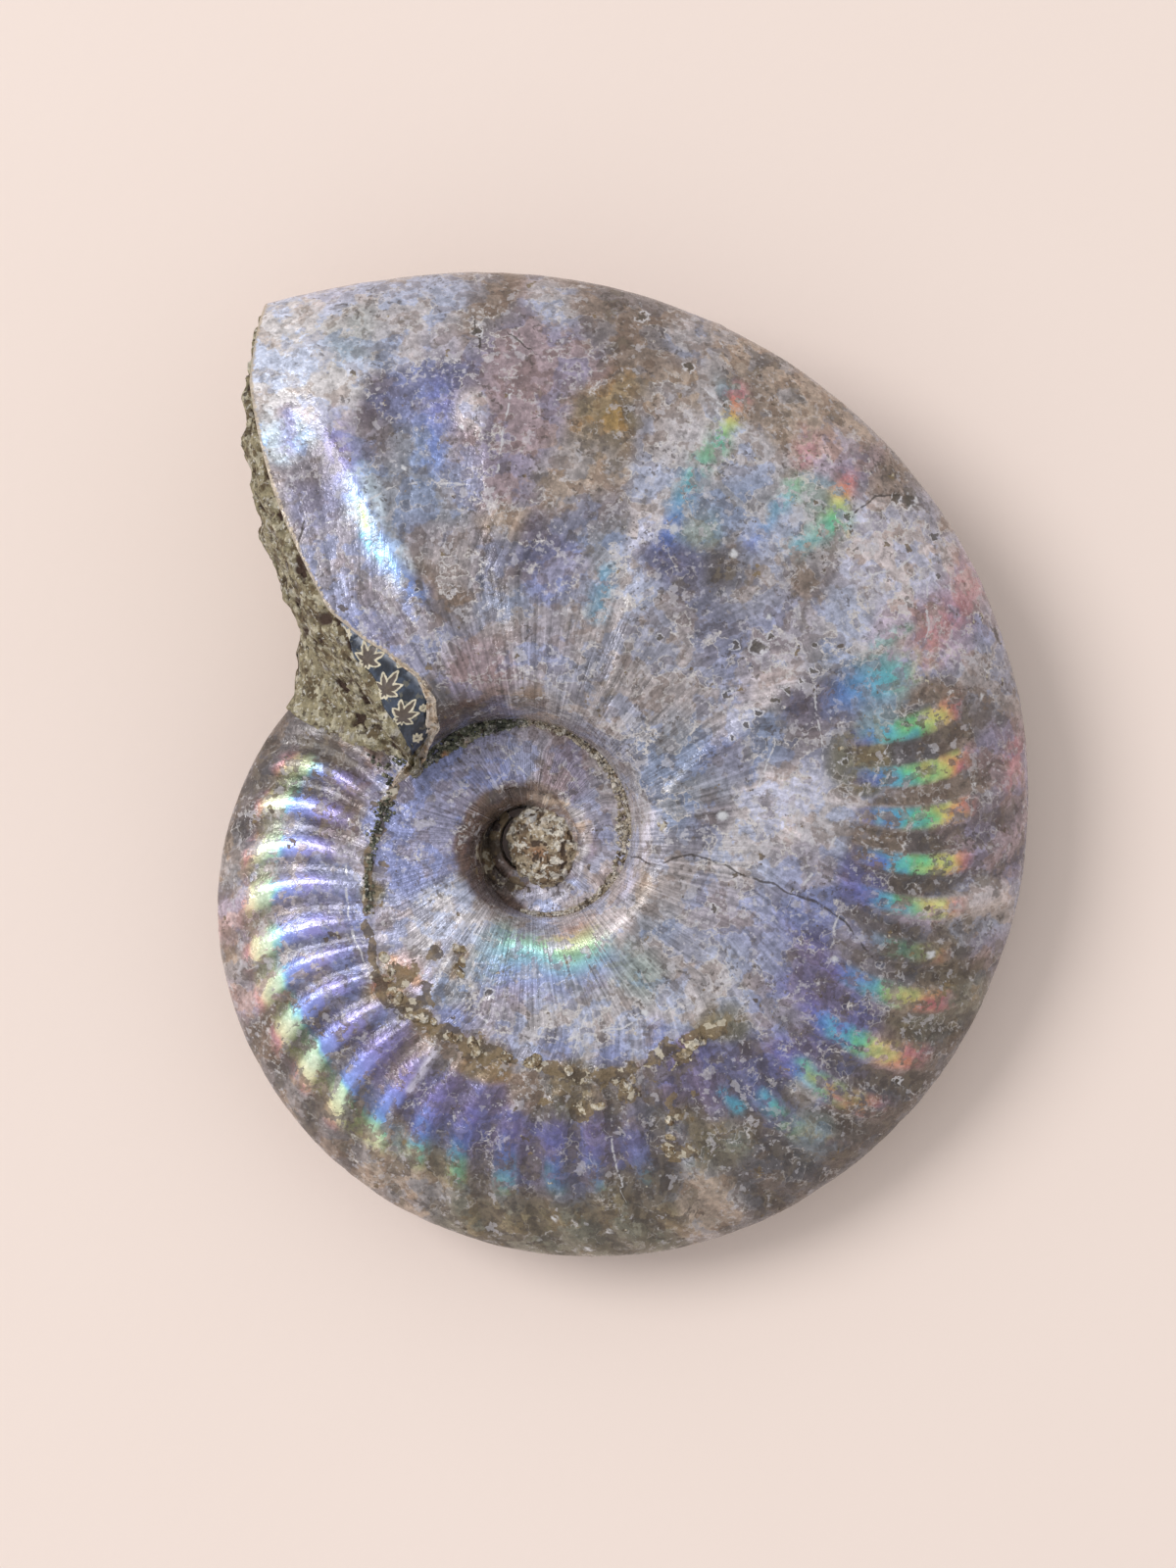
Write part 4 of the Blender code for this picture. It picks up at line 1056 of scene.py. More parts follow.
class Finish:
    """A finish for pieces: its nodes, and the ways to join them up. Sizes are in millimetres."""

    def __init__(self, name):
        self.material = bpy.data.materials.new(name)
        self.material.use_nodes = True
        self.nodes = self.material.node_tree.nodes
        self.shader = self.nodes["Principled BSDF"]
        places = Value(self, self.node("ShaderNodeTexCoord").outputs["Object"])
        self.places = self.joined_by("MULTIPLY", places, (1 / MM,) * 3)

    def node(self, kind, settings=None, inputs=None):
        """A new node with these settings and inputs."""
        node = self.nodes.new(kind)
        for name, value in (settings or {}).items():
            setattr(node, name, value)
        for name, value in (inputs or {}).items():
            self.put(node.inputs[name], value)
        return node

    def put(self, socket, value):
        """Join a value to a socket, or set the socket to a constant."""
        if isinstance(value, Value):
            self.material.node_tree.links.new(value.socket, socket)
        else:
            socket.default_value = value

    def maths(self, operation, first, second):
        """The result of one sum."""
        node = self.node("ShaderNodeMath", {"operation": operation}, {0: first, 1: second})
        return Value(self, node.outputs[0])

    def held(self, name):
        """What a piece holds for each point: a colour, and its fourth part."""
        node = self.node("ShaderNodeAttribute", {"attribute_name": name})
        return Value(self, node.outputs["Color"]), Value(self, node.outputs["Alpha"])

    def wears(self, name, value):
        """Give a socket of the shader its value."""
        self.put(self.shader.inputs[name], value)

    def parts(self, value):
        """The three parts of a place or colour."""
        node = self.node("ShaderNodeSeparateXYZ", None, {0: value})
        return [Value(self, output) for output in node.outputs]

    def joined(self, *values):
        """Three numbers as one place or colour."""
        node = self.node("ShaderNodeCombineXYZ", None, dict(enumerate(values)))
        return Value(self, node.outputs[0])

    def joined_by(self, operation, first, second, output="Vector"):
        """Two places joined by a sum for each part, or the distance between them."""
        node = self.node("ShaderNodeVectorMath", {"operation": operation}, {0: first, 1: second})
        return Value(self, node.outputs[output])

    def cloud(self, size, shift=0.0, roughness=0.55, places=None, finest=FINEST_GRAIN):
        """Noise from 0 to 1 with lumps of this size, and smaller ones down to the finest."""
        places = self.joined_by("ADD", places or self.places, (shift, 0.7 * shift, 0.3 * shift))
        detail = max(math.log2(size / finest), 0.0)
        settings = {"Vector": places, "Scale": 1 / size, "Detail": detail, "Roughness": roughness}
        return Value(self, self.node("ShaderNodeTexNoise", None, settings).outputs[0])

    def pit_distance(self, pits):
        """How far a place is from the nearest pit, where 1 is the pit's own reach."""
        nearest = FAR
        places, _ = self.held("chart")
        wander = self.joined(1.3 * self.cloud(0.6, 101), 1.3 * self.cloud(0.6, 107), 0.0)
        places = self.joined_by("ADD", places, wander)
        for x, y, reach, *_ in pits:
            away = self.joined_by("DISTANCE", places, (x + 0.65, y + 0.65, 0), "Value")
            nearest = self.maths("MINIMUM", nearest, away / (0.85 * reach))
        return nearest

    def step(self, low, high, value, least=0.0, most=1.0):
        """least below low, most above high, and a smooth rise between them."""
        inputs = {"Value": value, "From Min": low, "From Max": high, "To Min": least, "To Max": most}
        node = self.node("ShaderNodeMapRange", {"interpolation_type": "SMOOTHSTEP"}, inputs)
        return Value(self, node.outputs[0])

    def blend(self, first, second, share, kind="MIX"):
        """The first colour with a share of the second over it."""
        settings = {"data_type": "RGBA", "blend_type": kind, "clamp_result": False}
        node = self.node("ShaderNodeMix", settings, {0: share, 6: first, 7: second})
        return Value(self, node.outputs[2])

    def tinted(self, colour, tone):
        """The colour multiplied by a tone."""
        return self.blend(colour, tone, 1.0, "MULTIPLY")

    def shaded(self, colour, brightness):
        """The colour made brighter or darker by a number."""
        return self.tinted(colour, self.joined(brightness, brightness, brightness))

    def grainy(self, tone, grain, depth):
        """A tone made brighter and darker by the grain."""
        return self.shaded(tone, 1 - depth / 2 + depth * grain)

    def paint(self, tone, share):
        """Lay a tone over the base colour."""
        tone = tone if isinstance(tone, Value) else colour(tone)
        self.base = self.blend(self.base, tone, share)

    def done(self, height):
        """The finished material, with its base colour, roughened by a height in millimetres."""
        node = self.node("ShaderNodeBump", None, {"Strength": 1.0, "Distance": MM, "Height": height})
        self.wears("Normal", Value(self, node.outputs[0]))
        self.wears("Base Color", self.base)
        return self.material


def colour(name):
    """A palette colour, or one given out of 255, for a node's socket."""
    red_green_blue = PALETTE[name] if isinstance(name, str) else name
    return (*(float(part) for part in linear(red_green_blue)), 1.0)


class Nacre(Finish):
    """Worn mother of pearl, with a method for each kind of mark on it."""

    def __init__(self):
        super().__init__("worn_nacre")
        self.base, _ = self.held("tint")
        self.glow_colour, self.glow_share = self.held("glow")
        wear_parts, self.broken = self.held("wear")
        self.worn, self.stained, self.crusted = self.parts(wear_parts)
        marking_parts, self.valley = self.held("markings")
        self.crack, self.pale_line, self.dots = self.parts(marking_parts)
        growth, self.share, side = self.parts(self.held("growth")[0])
        along_growth = self.joined(growth * 0.8, self.share * 4.0, side * 5.0)
        self.streaks = self.cloud(1.0, 0, 0.6, along_growth, 0.1)
        self.streak_depth = self.step(0.7, 0.2, self.share, 0.35, 1.0)
        self.grain = self.cloud(0.3, 9)
        self.patches = self.cloud(3.4, 13, 0.55)
        self.flakes = self.cloud(1.6, 15, 0.55)
        self.chips = self.cloud(0.75, 19, 0.55)

    def grow(self):
        """Patches, flakes, chips and growth streaks in the shell's tint, and painted shade in rib valleys.
        """
        step = self.step
        warm, cool = (1.06, 0.99, 0.90, 1), (0.92, 0.98, 1.10, 1)
        bright, dull = (1.06, 1.05, 1.05, 1), (0.78, 0.72, 0.68, 1)
        base = self.tinted(self.base, self.blend(warm, cool, step(0.48, 0.52, self.patches)))
        base = self.tinted(base, self.blend(bright, dull, step(0.53, 0.55, self.flakes)))
        tone = 0.80 + 0.20 * step(0.44, 0.46, self.flakes) + 0.10 * step(0.42, 0.45, self.chips)
        tone = tone + 0.12 * step(0.54, 0.57, self.chips)
        fine = 1 + 0.6 * (self.grain - 0.5) + 0.6 * (self.chips - 0.5)
        grown = 1 + self.streak_depth * 2.2 * (self.streaks - 0.5)
        # Painted shade: darker in the valleys between ribs
        self.base = self.shaded(self.shaded(base, tone * fine), grown * (1 - 0.22 * self.valley))
        fibres = step(0.60, 0.70, self.streaks) * step(0.3, 0.1, self.share, 0.0, 0.4)
        self.paint((206, 202, 214), fibres)
        self.texture = tone * fine * grown

    def stain(self):
        """Brown stains, with more brown in the valleys between ribs, which darkens them."""
        low = 0.62 - 0.14 * self.stained - 0.1 * self.valley
        stain = self.step(low, low + 0.02, self.cloud(2.2, 31, 0.58)) * (0.42 + 0.38 * self.stained)
        mottled = self.step(0.44, 0.56, self.cloud(1.1, 37))
        brown = self.blend(colour((72, 62, 56)), colour((110, 98, 84)), mottled)
        self.paint(self.grainy(brown, self.grain, 0.5), stain)
        return stain

    def outline(self, value, level, width):
        """Lines where a cloud passes through this level."""
        return 1 - self.step(0.0, width, abs(value - level))

    def chalk(self):
        """Chalky wear, and the pale outlines of patches and flakes."""
        cloud, step, worn = self.cloud, self.step, self.worn
        low = 0.625 - 0.095 * worn
        chalk = step(low, low + 0.02, cloud(1.5, 43, 0.6)) * (0.45 + 0.3 * worn)
        lines = self.outline(self.patches, 0.5, 0.018) + self.outline(self.flakes, 0.54, 0.032)
        lines = lines + self.outline(cloud(0.9, 49), 0.5, 0.04) * (0.1 + 0.8 * worn)
        lines = lines * step(0.50, 0.57, cloud(2.4, 55) + 0.10 * worn)
        lines = lines * (0.5 + 0.35 * worn - 0.3 * self.stained)
        self.paint(self.grainy(colour((196, 192, 198)), self.grain, 0.5), chalk)
        self.paint(self.grainy(colour((206, 200, 198)), self.grain, 0.4), step(0.0, 1.0, lines))
        return chalk

    def fleck(self):
        """Small pale flecks and small dark specks."""
        cloud, step = self.cloud, self.step
        flecked = step(0.50, 0.60, cloud(3.6, 111) + 0.06 * self.worn)
        flecks = step(0.59, 0.62, cloud(0.5, 113)) * flecked
        self.paint((218, 214, 218), flecks * (0.45 - 0.35 * self.stained))
        specked = step(0.48, 0.40, cloud(3.6, 111))
        self.paint((76, 66, 62), step(0.41, 0.38, cloud(0.5, 117)) * (0.15 + specked) * 0.55)

    def shine(self, stain, chalk):
        """Play of colour and painted highlights, broken up by growth, stains and chalk, whole where
        strongest.
        """
        broken_up = self.step(0.44, 0.49, self.cloud(1.0, 61, 0.6) + 0.3 * (self.streaks - 0.5))
        kept = self.step(0.97, 1.0, self.glow_share)
        whole = broken_up + (1 - broken_up) * kept
        shine = self.glow_share * (0.2 + 0.8 * whole)
        shine = shine * (1 - stain * (1 - kept)) * (1 - 0.8 * chalk * (1 - kept))
        brightness = self.texture + self.glow_share * 0.45 * (1 - self.texture)
        self.paint(self.shaded(self.glow_colour, brightness), shine)
        return shine

    def crust(self):
        """Ochre crust with paler lumps."""
        cloud, step = self.cloud, self.step
        crust = step(0.42, 0.47, self.crusted + 2.4 * (cloud(1.6, 71, 0.6) - 0.5))
        mottled = step(0.44, 0.54, cloud(1.6, 77, 0.55))
        ochre = self.blend(colour((88, 76, 64)), colour((126, 108, 82)), mottled)
        ochre = self.blend(ochre, colour((190, 180, 160)), step(0.57, 0.60, cloud(1.1, 83, 0.55)))
        self.paint(self.grainy(ochre, self.grain, 0.6), crust * 0.85)
        return crust

    def mark(self):
        """Cracks, pale lines, pits with their rims, pale dots and rubbed edges."""
        cloud, step = self.cloud, self.step
        ragged_by = 0.15 * (self.grain - 0.5)
        from_pit = self.pit_distance(PITS)
        crack = step(0.13, 0.04, abs(self.crack) + ragged_by) * step(0.40, 0.48, cloud(1.6, 97))
        pale_line = step(0.13, 0.03, abs(self.pale_line) + 2 * ragged_by) * step(0.46, 0.54, cloud(1.2, 99))
        rim = step(0.85, 1.0, from_pit) * step(1.5, 1.15, from_pit + 2 * ragged_by)
        self.paint((56, 46, 42), crack * 0.8)
        self.paint((212, 210, 214), pale_line * 0.75)
        self.paint((78, 70, 60), step(0.95, 0.7, from_pit) * 0.8)
        self.paint((216, 214, 218), rim * step(0.4, 0.55, cloud(0.8, 103)) * 0.75)
        self.paint((216, 216, 220), step(0.25, 0.8, self.dots + 3 * ragged_by) * 0.85)
        edge = step(0.3, 0.7, self.broken + 1.5 * (self.grain - 0.5))
        self.paint(self.grainy(colour((186, 170, 150)), self.grain, 0.8), edge * 0.9)

    def finished(self, stain, chalk, shine, crust):
        """The material: metallic where it shines, dull where it is worn or crusted."""
        bare = (1 - crust) * (1 - 0.8 * stain) * (1 - 0.7 * chalk)
        off_seam = self.step(0.02, 0.10, self.share, 0.3, 1.0)
        rough = 0.32 + 0.25 * chalk + 0.25 * stain + (1 - 0.6 * shine) * (self.grain - 0.5)
        self.wears("Metallic", bare * (0.2 + 0.4 * shine) * off_seam)
        self.wears("Roughness", rough + crust * (0.85 - rough))
        self.wears("Coat Weight", bare * 0.35)
        self.wears("Coat Roughness", 0.18)
        height = 0.1 * self.streaks * self.streak_depth + 0.1 * self.flakes
        height = height + (0.1 * self.chips + 0.05 * self.grain) * (1 - 0.5 * shine)
        return self.done(height + self.crusted * (0.3 * self.cloud(0.6, 91, 0.65)))


def nacre():
    """Mother of pearl with its tints, stains, chalky wear, play of colour, crust and marks."""
    shell = Nacre()
    shell.grow()
    stain = shell.stain()
    chalk = shell.chalk()
    shell.fleck()
    shine = shell.shine(stain, chalk)
    crust = shell.crust()
    shell.mark()
    return shell.finished(stain, chalk, shine, crust)


def sediment(name):
    """Grainy sediment: three tones in lumps, specks, and painted shade in its hollows."""
    low, middle, high, hollow_shade_tone, size = SEDIMENTS[name]
    finish = Finish(name)
    cloud, step = finish.cloud, finish.step
    hollow, pale, warm = finish.parts(finish.held("relief")[0])
    body = cloud(size * 4, 5, 0.6)
    lumps = cloud(size * 1.4, 8, 0.6)
    grain = cloud(0.3, 11)
    finish.base = finish.blend(colour(low), colour(middle), step(0.42, 0.52, body))
    finish.paint(high, step(0.53, 0.58, cloud(size * 2.6, 17, 0.6)))
    finish.paint((150, 112, 84), warm * step(0.4, 0.6, cloud(size * 3, 23)))
    finish.paint((196, 192, 190), pale * step(0.4, 0.56, cloud(size * 2, 29)))
    finish.base = finish.shaded(finish.base, (0.2 + 1.6 * lumps) * (0.5 + grain))
    speck = step(0.62, 0.66, cloud(size * 1.1, 41, 0.6))
    finish.paint((206, 202, 196), speck * 0.7)
    finish.paint((60, 46, 36), step(0.60, 0.64, cloud(size * 1.8, 47, 0.6)) * 0.75)
    # Painted shade in the hollows
    finish.paint(hollow_shade_tone, step(0.25, 0.75, hollow))
    finish.wears("Roughness", 0.86 - 0.3 * speck)
    return finish.done(0.1 * grain + 0.3 * lumps + 0.2 * body)


def mould_finish():
    """The dark inner cast of the chamber, with the pale frilled lines where its walls met the shell."""
    finish = Finish("chamber_mould")
    cloud, step = finish.cloud, finish.step
    line, fill, worn = finish.parts(finish.held("marks")[0])
    grain = cloud(0.3, 3)
    mottled = step(0.42, 0.58, cloud(1.4, 7, 0.6))
    finish.base = finish.blend(colour((34, 40, 52)), colour((62, 72, 90)), mottled)
    finish.paint((116, 112, 98), step(0.60, 0.64, cloud(0.8, 13, 0.6)) * 0.6)
    finish.paint((150, 156, 170), worn * step(0.42, 0.52, cloud(1.0, 17, 0.6)))
    finish.paint((104, 88, 74), fill * 0.75)
    finish.paint((214, 204, 180), step(0.35, 0.75, line + 0.8 * (grain - 0.5)))
    finish.base = finish.grainy(finish.base, grain, 0.8)
    finish.wears("Metallic", 0.2 * (1 - line))
    finish.wears("Roughness", 0.34 + 0.3 * line)
    finish.wears("Coat Weight", 0.4 * (1 - line))
    return finish.done(0.05 * grain + 0.05 * line)


def grid(name, across, down):
    """A grid piece, with each vertex's place on it from 0 to 1 both ways."""
    bpy.ops.mesh.primitive_grid_add(x_subdivisions=across, y_subdivisions=down, size=ROUGH_SIZE)
    obj = named(name)
    places = vertices(obj)[:, :2].astype(float) / ROUGH_SIZE + 0.5
    return obj, np.round(places[:, 0] * across) / across, np.round(places[:, 1] * down) / down


def whorl_face(back, share, sunk):
    """Distance from the axis and height over the middle plane on the whorl's flank, or sunk into it."""
    radius = mix(seam_radius(back), edge_radius(back), share) - sunk * share
    return radius, np.maximum(surface_height(back, share) - sunk, 0.0)


def break_face(share, side, out):
    """The sediment's broken face: out is 1 at the mould's edge and 0 where it meets the whorl inside."""
    back = -mould_edge(share, side)
    radius, height = whorl_face(back, share, SHELL_THICKNESS * smoothstep(0.0, SHELL_FULL_FROM, share))
    at_edge = smoothstep(COVERED_FROM, BREAK_AT_EDGE_FROM, mix(COVERED_FROM, 1.0, share))
    met = TURN - mix(BREAK_AT_SEAM, BREAK_AT_EDGE, at_edge)
    met_radius, met_height = whorl_face(met, mix(covered_share(met), 1.0, share), 0.0)
    inwards = BREAK_SLOPE * (1 - out) + (1 - BREAK_SLOPE) * (1 - out) ** BREAK_CORNER
    radius, height = mix(met_radius, radius, out), mix(met_height, height, out)
    return placed(mix(back, met - TURN, inwards), radius, side * height)


def sediment_sheet(share, side, down):
    """From under the shell over the mould (down from -1 to 0) and over the broken face (0 to 1)."""
    ahead = mix(mould_edge(share, side), shell_edge(share, side) - TUCKED_BACK, np.clip(-down, 0, 1))
    mould = whorl_points(-ahead, share, side, SHELL_THICKNESS)
    face = break_face(share, side, 1 - np.clip(down, 0, 1))
    return np.where((down < 0)[..., None], mould, face)


def break_sediment(material):
    """The grainy fill that shows where the body chamber is broken off."""
    obj, across, down = grid("break_sediment", *BREAK_GRID)
    down = mix(-1.0, 1.12, down)
    around = mix(0.0, 2.0, across)
    share = np.where(around < 1, around, 2 - around)
    side = np.where(around < 1, 1.0, -1.0)
    points = sediment_sheet(share, side, down)
    big, middle, small = (clouds(points, size, 31 + index, 3) for index, size in enumerate((3.6, 1.3, 0.5)))
    hole = smoothstep(0.3, 0.6, clouds(points, 1.9, 41, 3) + 0.3 * clouds(points, 0.6, 42))
    hole = np.maximum(hole, spread(points[:, 0], points[:, 1], BREAK_HOLES)) * smoothstep(0.04, 0.12, share)
    bare = smoothstep(-0.5, 0.05, down)
    bearing = math.radians(BREAK_FACES)
    facing = np.array([math.cos(bearing), math.sin(bearing), 0.0])
    ledges = spread(points[:, 0], points[:, 1], BREAK_LEDGES)
    outwards = bare * (0.35 * big + 0.22 * middle + 0.1 * small - 0.5 * hole + ledges)
    points = points + np.where(down > 1, -0.6, outwards)[..., None] * facing
    points[:, 2] += bare * side * (0.2 * middle + 0.1 * small - 0.3 * hole) * smoothstep(0.0, 0.2, share)
    shape(obj, laid_down(points))
    apply_modifier(obj, "SOLIDIFY", thickness=BREAK_SKIN * MM, offset=-1.0)
    pale = smoothstep(0.3, 0.6, clouds(points, 1.1, 44, 3)) * 0.5
    # The holes are darkened in the finish as painted shade
    relief = np.stack([hole, pale, 0 * hole, 1 + 0 * hole], axis=-1)
    hold(obj, relief=np.concatenate([relief, relief]))
    face_outwards(obj)
    finish_piece(obj, material)


def off_leaf(x, y, size, heading):
    """How far places are outside a leaf of pointed lobes, which start at its foot; negative inside."""
    nearest = np.full(x.shape, FAR)
    for turn, length, width in LOBES:
        bearing = math.radians(heading + turn)
        up = (x * math.cos(bearing) + y * math.sin(bearing)) / (length * size) + 0.3
        across = np.abs(y * math.cos(bearing) - x * math.sin(bearing)) / size
        half = width * np.sin(math.pi * np.clip(up, 0, 1)) ** 0.75
        past = np.maximum(np.maximum(up - 1, -up), 0) * length
        nearest = np.minimum(nearest, (across - half + past) * size)
    return nearest


def chamber_mould(material):
    """The patch of dark cast that shows between the shell's edge and the sediment."""
    obj, across, ahead = grid("chamber_mould", *MOULD_GRID)
    share = mix(0.015, 0.35, across)
    edge, end = shell_edge(share, 1.0), mould_edge(share, 1.0)
    reach = mix(edge - 1.5, mix(edge, end, 0.86) + 0.6 * np.sin(share * 60), ahead)
    closing = smoothstep(0.35, 0.28, share)
    reach = mix(edge - 1.5, reach, mix(0.15, 1.0, closing))
    points = whorl_points(-reach, share, np.ones(share.shape), SHELL_THICKNESS - MOULD_RAISED)
    x, y = chart(points, np.ones(share.shape))
    line, fill = np.zeros(x.shape), np.zeros(x.shape)
    x, y = ragged(points, x, y, 0.08, 0.5, 61)
    for middle_x, middle_y, size, heading in LEAVES:
        off = off_leaf(x - middle_x, y - middle_y, size, heading)
        line = np.maximum(line, hump(off, LEAF_LINE))
        fill = np.maximum(fill, smoothstep(0.05, -0.1, off))
    worn = hump(reach - edge - 0.4, 0.9)
    hold(obj, marks=np.stack([line, fill, worn, 1 + 0 * x], axis=-1))
    points[:, 2] -= smoothstep(0.9, 1.0, ahead) * 0.4 + 0.04 * fill
    shape(obj, laid_down(points))
    apply_modifier(obj, "SOLIDIFY", thickness=MOULD_SKIN * MM, offset=-1.0)
    face_outwards(obj)
    finish_piece(obj, material)


def lip_middle(across):
    """The middle of the curled lip, from the shell's edge at 0 to where it peters out inside at 1."""
    parts, ahead, share = zip(*LIP_PLACES)
    share = np.interp(across, parts, share)
    return whorl_points(-np.interp(across, parts, ahead), share, np.ones(share.shape), 0.1)


def shell_lip(material):
    """The curled end of the broken shell wall, which runs down to the umbilicus and along it."""
    obj, across, out = grid("shell_lip", *LIP_GRID)
    run = lip_middle(across + 0.01) - lip_middle(across - 0.01)
    run = run / np.linalg.norm(run[:, :2], axis=1, keepdims=True)
    frayed = clouds(np.stack([across * 14, 0 * out, 0 * out], axis=-1), 1.0, 63)
    taper = smoothstep(0.2, 0.6, across) * smoothstep(1.0, 0.9, across)
    offset = (out - 0.35) * LIP_WIDTH * (0.25 + taper) * (1 + 0.5 * frayed)
    points = lip_middle(across)
    points[:, 0] += run[:, 1] * offset
    points[:, 1] -= run[:, 0] * offset
    points[:, 2] += taper * (LIP_CURL * (2 * out - 1) ** 2 + 0.15) + 0.08 * clouds(points, 0.7, 64)
    shape(obj, laid_down(points))
    apply_modifier(obj, "SOLIDIFY", thickness=LIP_SKIN * MM, offset=0.0)
    hold(obj, relief=np.tile([0.0, 0.4, 0.0, 1.0], (len(obj.data.vertices), 1)))
    face_outwards(obj)
    finish_piece(obj, material)


def on_shell(sheet, x, y):
    """The points of the shell's upper side that are seen at these places on the chart."""
    points, _, _, side = (part.reshape(-1, *part.shape[2:]) for part in sheet)
    points = points[side > 0.9]
    seen_x, seen_y = chart(points, np.ones(len(points)))
    found = []
    for across, up in zip(x, y):
        nearness = np.hypot(seen_x - across, seen_y - up)
        near = np.flatnonzero(nearness < max(nearness.min() + 0.12, 0.3))
        found.append(points[near[np.argmax(points[near, 2])]])
    return np.array(found)


def crumbs(name, places, sizes, material, chance, round_share=1.0):
    """Small lumps of sediment, modelled once, copied and joined: round ones at 1, flat chips at 0."""
    bpy.ops.mesh.primitive_ico_sphere_add(subdivisions=2 if len(places) < FEW_CRUMBS else 1, radius=1)
    first = named(name)
    lumps = [first]
    for _ in places[1:]:
        lump = first.copy()
        lump.data = first.data.copy()
        bpy.context.scene.collection.objects.link(lump)
        lumps.append(lump)
    at_rest = laid_down(places)
    for lump, place, size in zip(lumps, at_rest, sizes):
        turned = Matrix.Rotation(chance.uniform(0, ANY_TURN), 4, "Z")
        turned = turned @ Matrix.Rotation(round_share * chance.uniform(0, ANY_TURN), 4, "X")
        stretch = size * MM * chance.uniform(0.5, 1.1, 3) * (1, 1, max(round_share, FLATTEST))
        stretched = Matrix.Diagonal((*stretch, 1))
        lump.matrix_world = Matrix.Translation(place) @ turned @ stretched
    only(first)
    for lump in lumps:
        lump.select_set(True)
    bpy.ops.object.join()
    bpy.ops.object.transform_apply(location=True, rotation=True, scale=True)
    points = vertices(first).astype(float)
    rough, lump_size = 0.05 * MM * mix(3.0, 1.0, round_share), mix(0.4, 0.25, round_share)
    pushed = [clouds(points / MM, lump_size, 71 + part) for part in range(3)]
    points = points + rough * np.stack(pushed, axis=-1)
    shape(first, points)
    pale = smoothstep(0.2, 0.6, clouds(points / MM, 0.8, 75)) * 0.6
    warm = smoothstep(0.3, 0.6, clouds(points / MM, 1.2, 76))
    hold(first, relief=np.stack([0 * pale, pale, warm, 1 + 0 * warm], axis=-1))
    finish_piece(first, material, 75)


def seam_crumbs(name, material, first, last, per_degree, seed):
    """Crumbs along the umbilical seam between two coil angles."""
    chance = np.random.default_rng(seed)
    back = chance.uniform(first, last, int((last - first) * per_degree))
    width = along(SEAM_CRUMB_WIDTHS, back)
    inwards = chance.uniform(-0.15, 1.0, len(back)) * width
    share = np.zeros(len(back))
    places = whorl_points(back, share, share + 1)
    middle = np.array(UMBILICUS_OFFSET)
    out = places - middle
    places = places - out * (inwards / np.hypot(*out[:, :2].T))[:, None] * [1, 1, 0]
    sizes = chance.uniform(0.12, 0.30, len(back)) * (0.6 + 0.5 * width)
    places[:, 2] += sizes * 0.15 + 0.1
    crumbs(name, places, sizes, material, chance)


def scar_crumbs(name, material, sheet, lines, sizes, round_share, seed):
    """Crumbs along lines on the shell, each with its half-width and how many there are to a millimetre."""
    chance = np.random.default_rng(seed)
    x, y = [], []
    for width, crowd, *line in lines:
        for (ax, ay), (bx, by) in zip(line, line[1:]):
            count = int(math.hypot(bx - ax, by - ay) * crowd)
            part = chance.uniform(0, 1, count)
            x.extend(mix(ax, bx, part) + chance.normal(0, width / SCATTER, count))
            y.extend(mix(ay, by, part) + chance.normal(0, width / SCATTER, count))
    places = on_shell(sheet, x, y)
    sizes = chance.uniform(*sizes, len(places))
    places[:, 2] += sizes * 0.1 * round_share
    crumbs(name, places, sizes, material, chance, round_share)


def umbilical_sediment(name, side, material):
    """The lumpy fill in the middle of the coil, on one side."""
    bpy.ops.mesh.primitive_ico_sphere_add(subdivisions=6, radius=ROUGH_SIZE / 2)
    obj = named(name)
    points = vertices(obj).astype(float) / (ROUGH_SIZE / 2)
    lumps = 0.10 * clouds(points, 0.5, 51, 3) + 0.07 * clouds(points, 0.17, 52, 2)
    x, y, height = FILL_AT
    points = points * (1 + lumps)[:, None] * np.array(FILL_RADII) + np.array([x, y, side * height])
    shape(obj, laid_down(points))
    x, y = points[:, 0], points[:, 1]
    pale = hump(x + 0.2, 1.4) * hump(y - 3.2, 0.9)
    warm = hump(x - 0.3, 0.8) * hump(y - 0.1, 0.7)
    # Its dents are darkened in the finish as painted shade
    hollow = smoothstep(0.25, 0.7, -lumps * 8)
    hold(obj, relief=np.stack([hollow, pale, warm, 1 + 0 * x], axis=-1))
    finish_piece(obj, material)


def floor_finish():
    """A pale, warm, matt surface."""
    finish = Finish("pale_floor")
    finish.base = finish.blend(colour((243, 226, 217)), colour((240, 222, 212)), finish.cloud(60, finest=8))
    finish.wears("Roughness", 0.8)
    return finish.done(0.02 * finish.cloud(1.5, finest=0.4))


def lay_floor():
    """The surface that the fossil lies on."""
    bpy.ops.mesh.primitive_grid_add(x_subdivisions=8, y_subdivisions=8, size=FLOOR_SIZE)
    floor = named("floor")
    floor.data.materials.append(floor_finish())


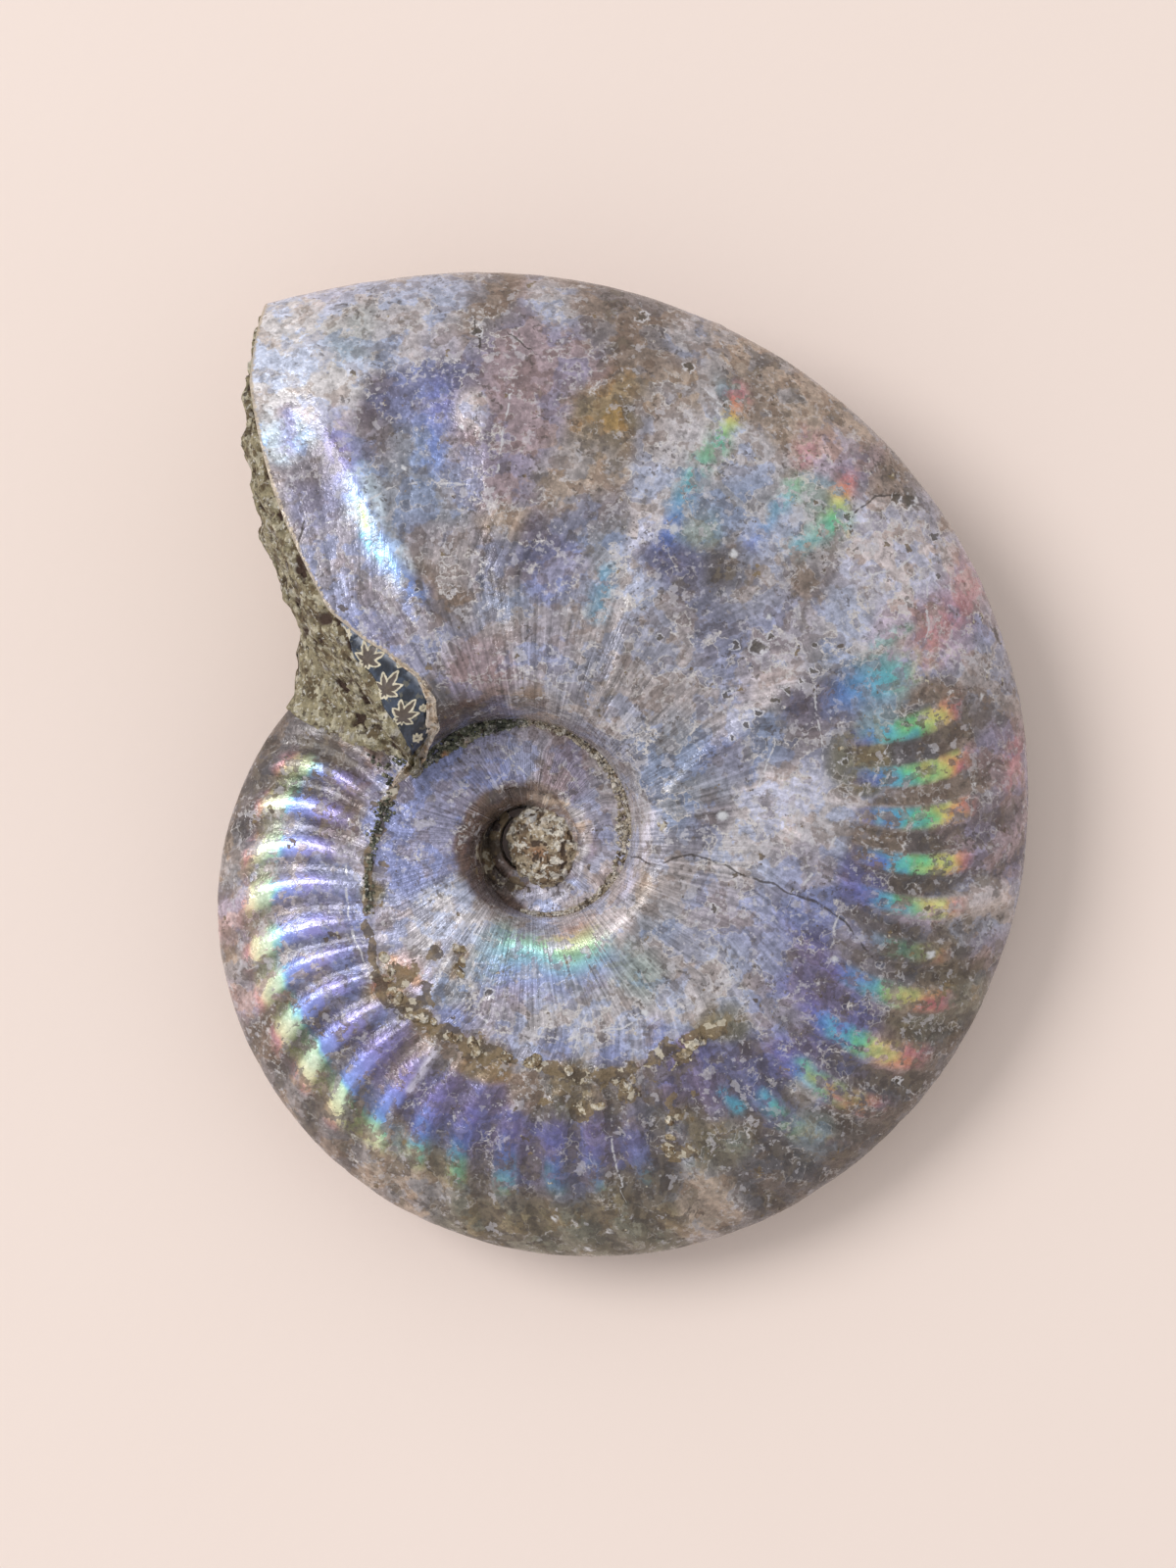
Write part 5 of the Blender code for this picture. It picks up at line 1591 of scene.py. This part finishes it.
def light_studio():
    """A soft light from the left and a pale room."""
    bpy.ops.object.light_add(type="AREA", location=KEY_AT)
    key = bpy.context.object
    key.data.shape = "DISK"
    key.data.size = KEY_SIZE
    key.data.energy = KEY_POWER
    key.rotation_euler = Vector(key.location).to_track_quat("Z", "Y").to_euler()
    room = bpy.data.worlds.new("studio")
    room.use_nodes = True
    background = room.node_tree.nodes["Background"]
    background.inputs["Color"].default_value = (1, 1, 1, 1)
    background.inputs["Strength"].default_value = ROOM_STRENGTH
    bpy.context.scene.world = room
    bpy.context.scene.view_settings.view_transform = "Standard"


def set_camera():
    """The camera looks down along the coil's axis, with the coil upright in the frame."""
    bpy.ops.object.camera_add()
    camera = bpy.context.object
    camera.data.sensor_fit = "VERTICAL"
    camera.data.sensor_height = SENSOR
    camera.data.lens = LENS
    camera.data.clip_start = 0.01
    over_coil = Matrix.Translation(Vector((*CAMERA_ACROSS, CAMERA_AWAY)) * MM)
    camera.matrix_world = Matrix.Translation(Vector(AXIS_AT_REST) * MM) @ leant(4) @ over_coil
    bpy.context.scene.camera = camera


def main():
    """Model and dress the fossil, and set it on its stage."""
    noise.seed_set(SEED)
    sheet = shell_sheet()
    coiled_shell(sheet, nacre())
    break_sediment(sediment("grainy_sediment"))
    chamber_mould(mould_finish())
    shell_lip(sediment("broken_shell"))
    dark, pale = sediment("dark_sediment"), sediment("pale_sediment")
    ochre, fill = sediment("ochre_sediment"), sediment("beige_fill")
    seam_crumbs("seam_crumbs_dark", dark, first=-27, last=24, per_degree=9, seed=1)
    seam_crumbs("seam_crumbs_pale", pale, first=20, last=215, per_degree=4, seed=2)
    scar_crumbs("scar_crumbs_dark", dark, sheet, DARK_SCARS, sizes=(0.10, 0.26), round_share=1.0, seed=3)
    scar_crumbs("scar_crumbs_ochre", ochre, sheet, OCHRE_SCARS, sizes=(0.25, 0.7), round_share=0.0, seed=4)
    umbilical_sediment("umbilical_sediment_above", 1, fill)
    umbilical_sediment("umbilical_sediment_below", -1, fill)
    lay_floor()
    light_studio()
    set_camera()


main()
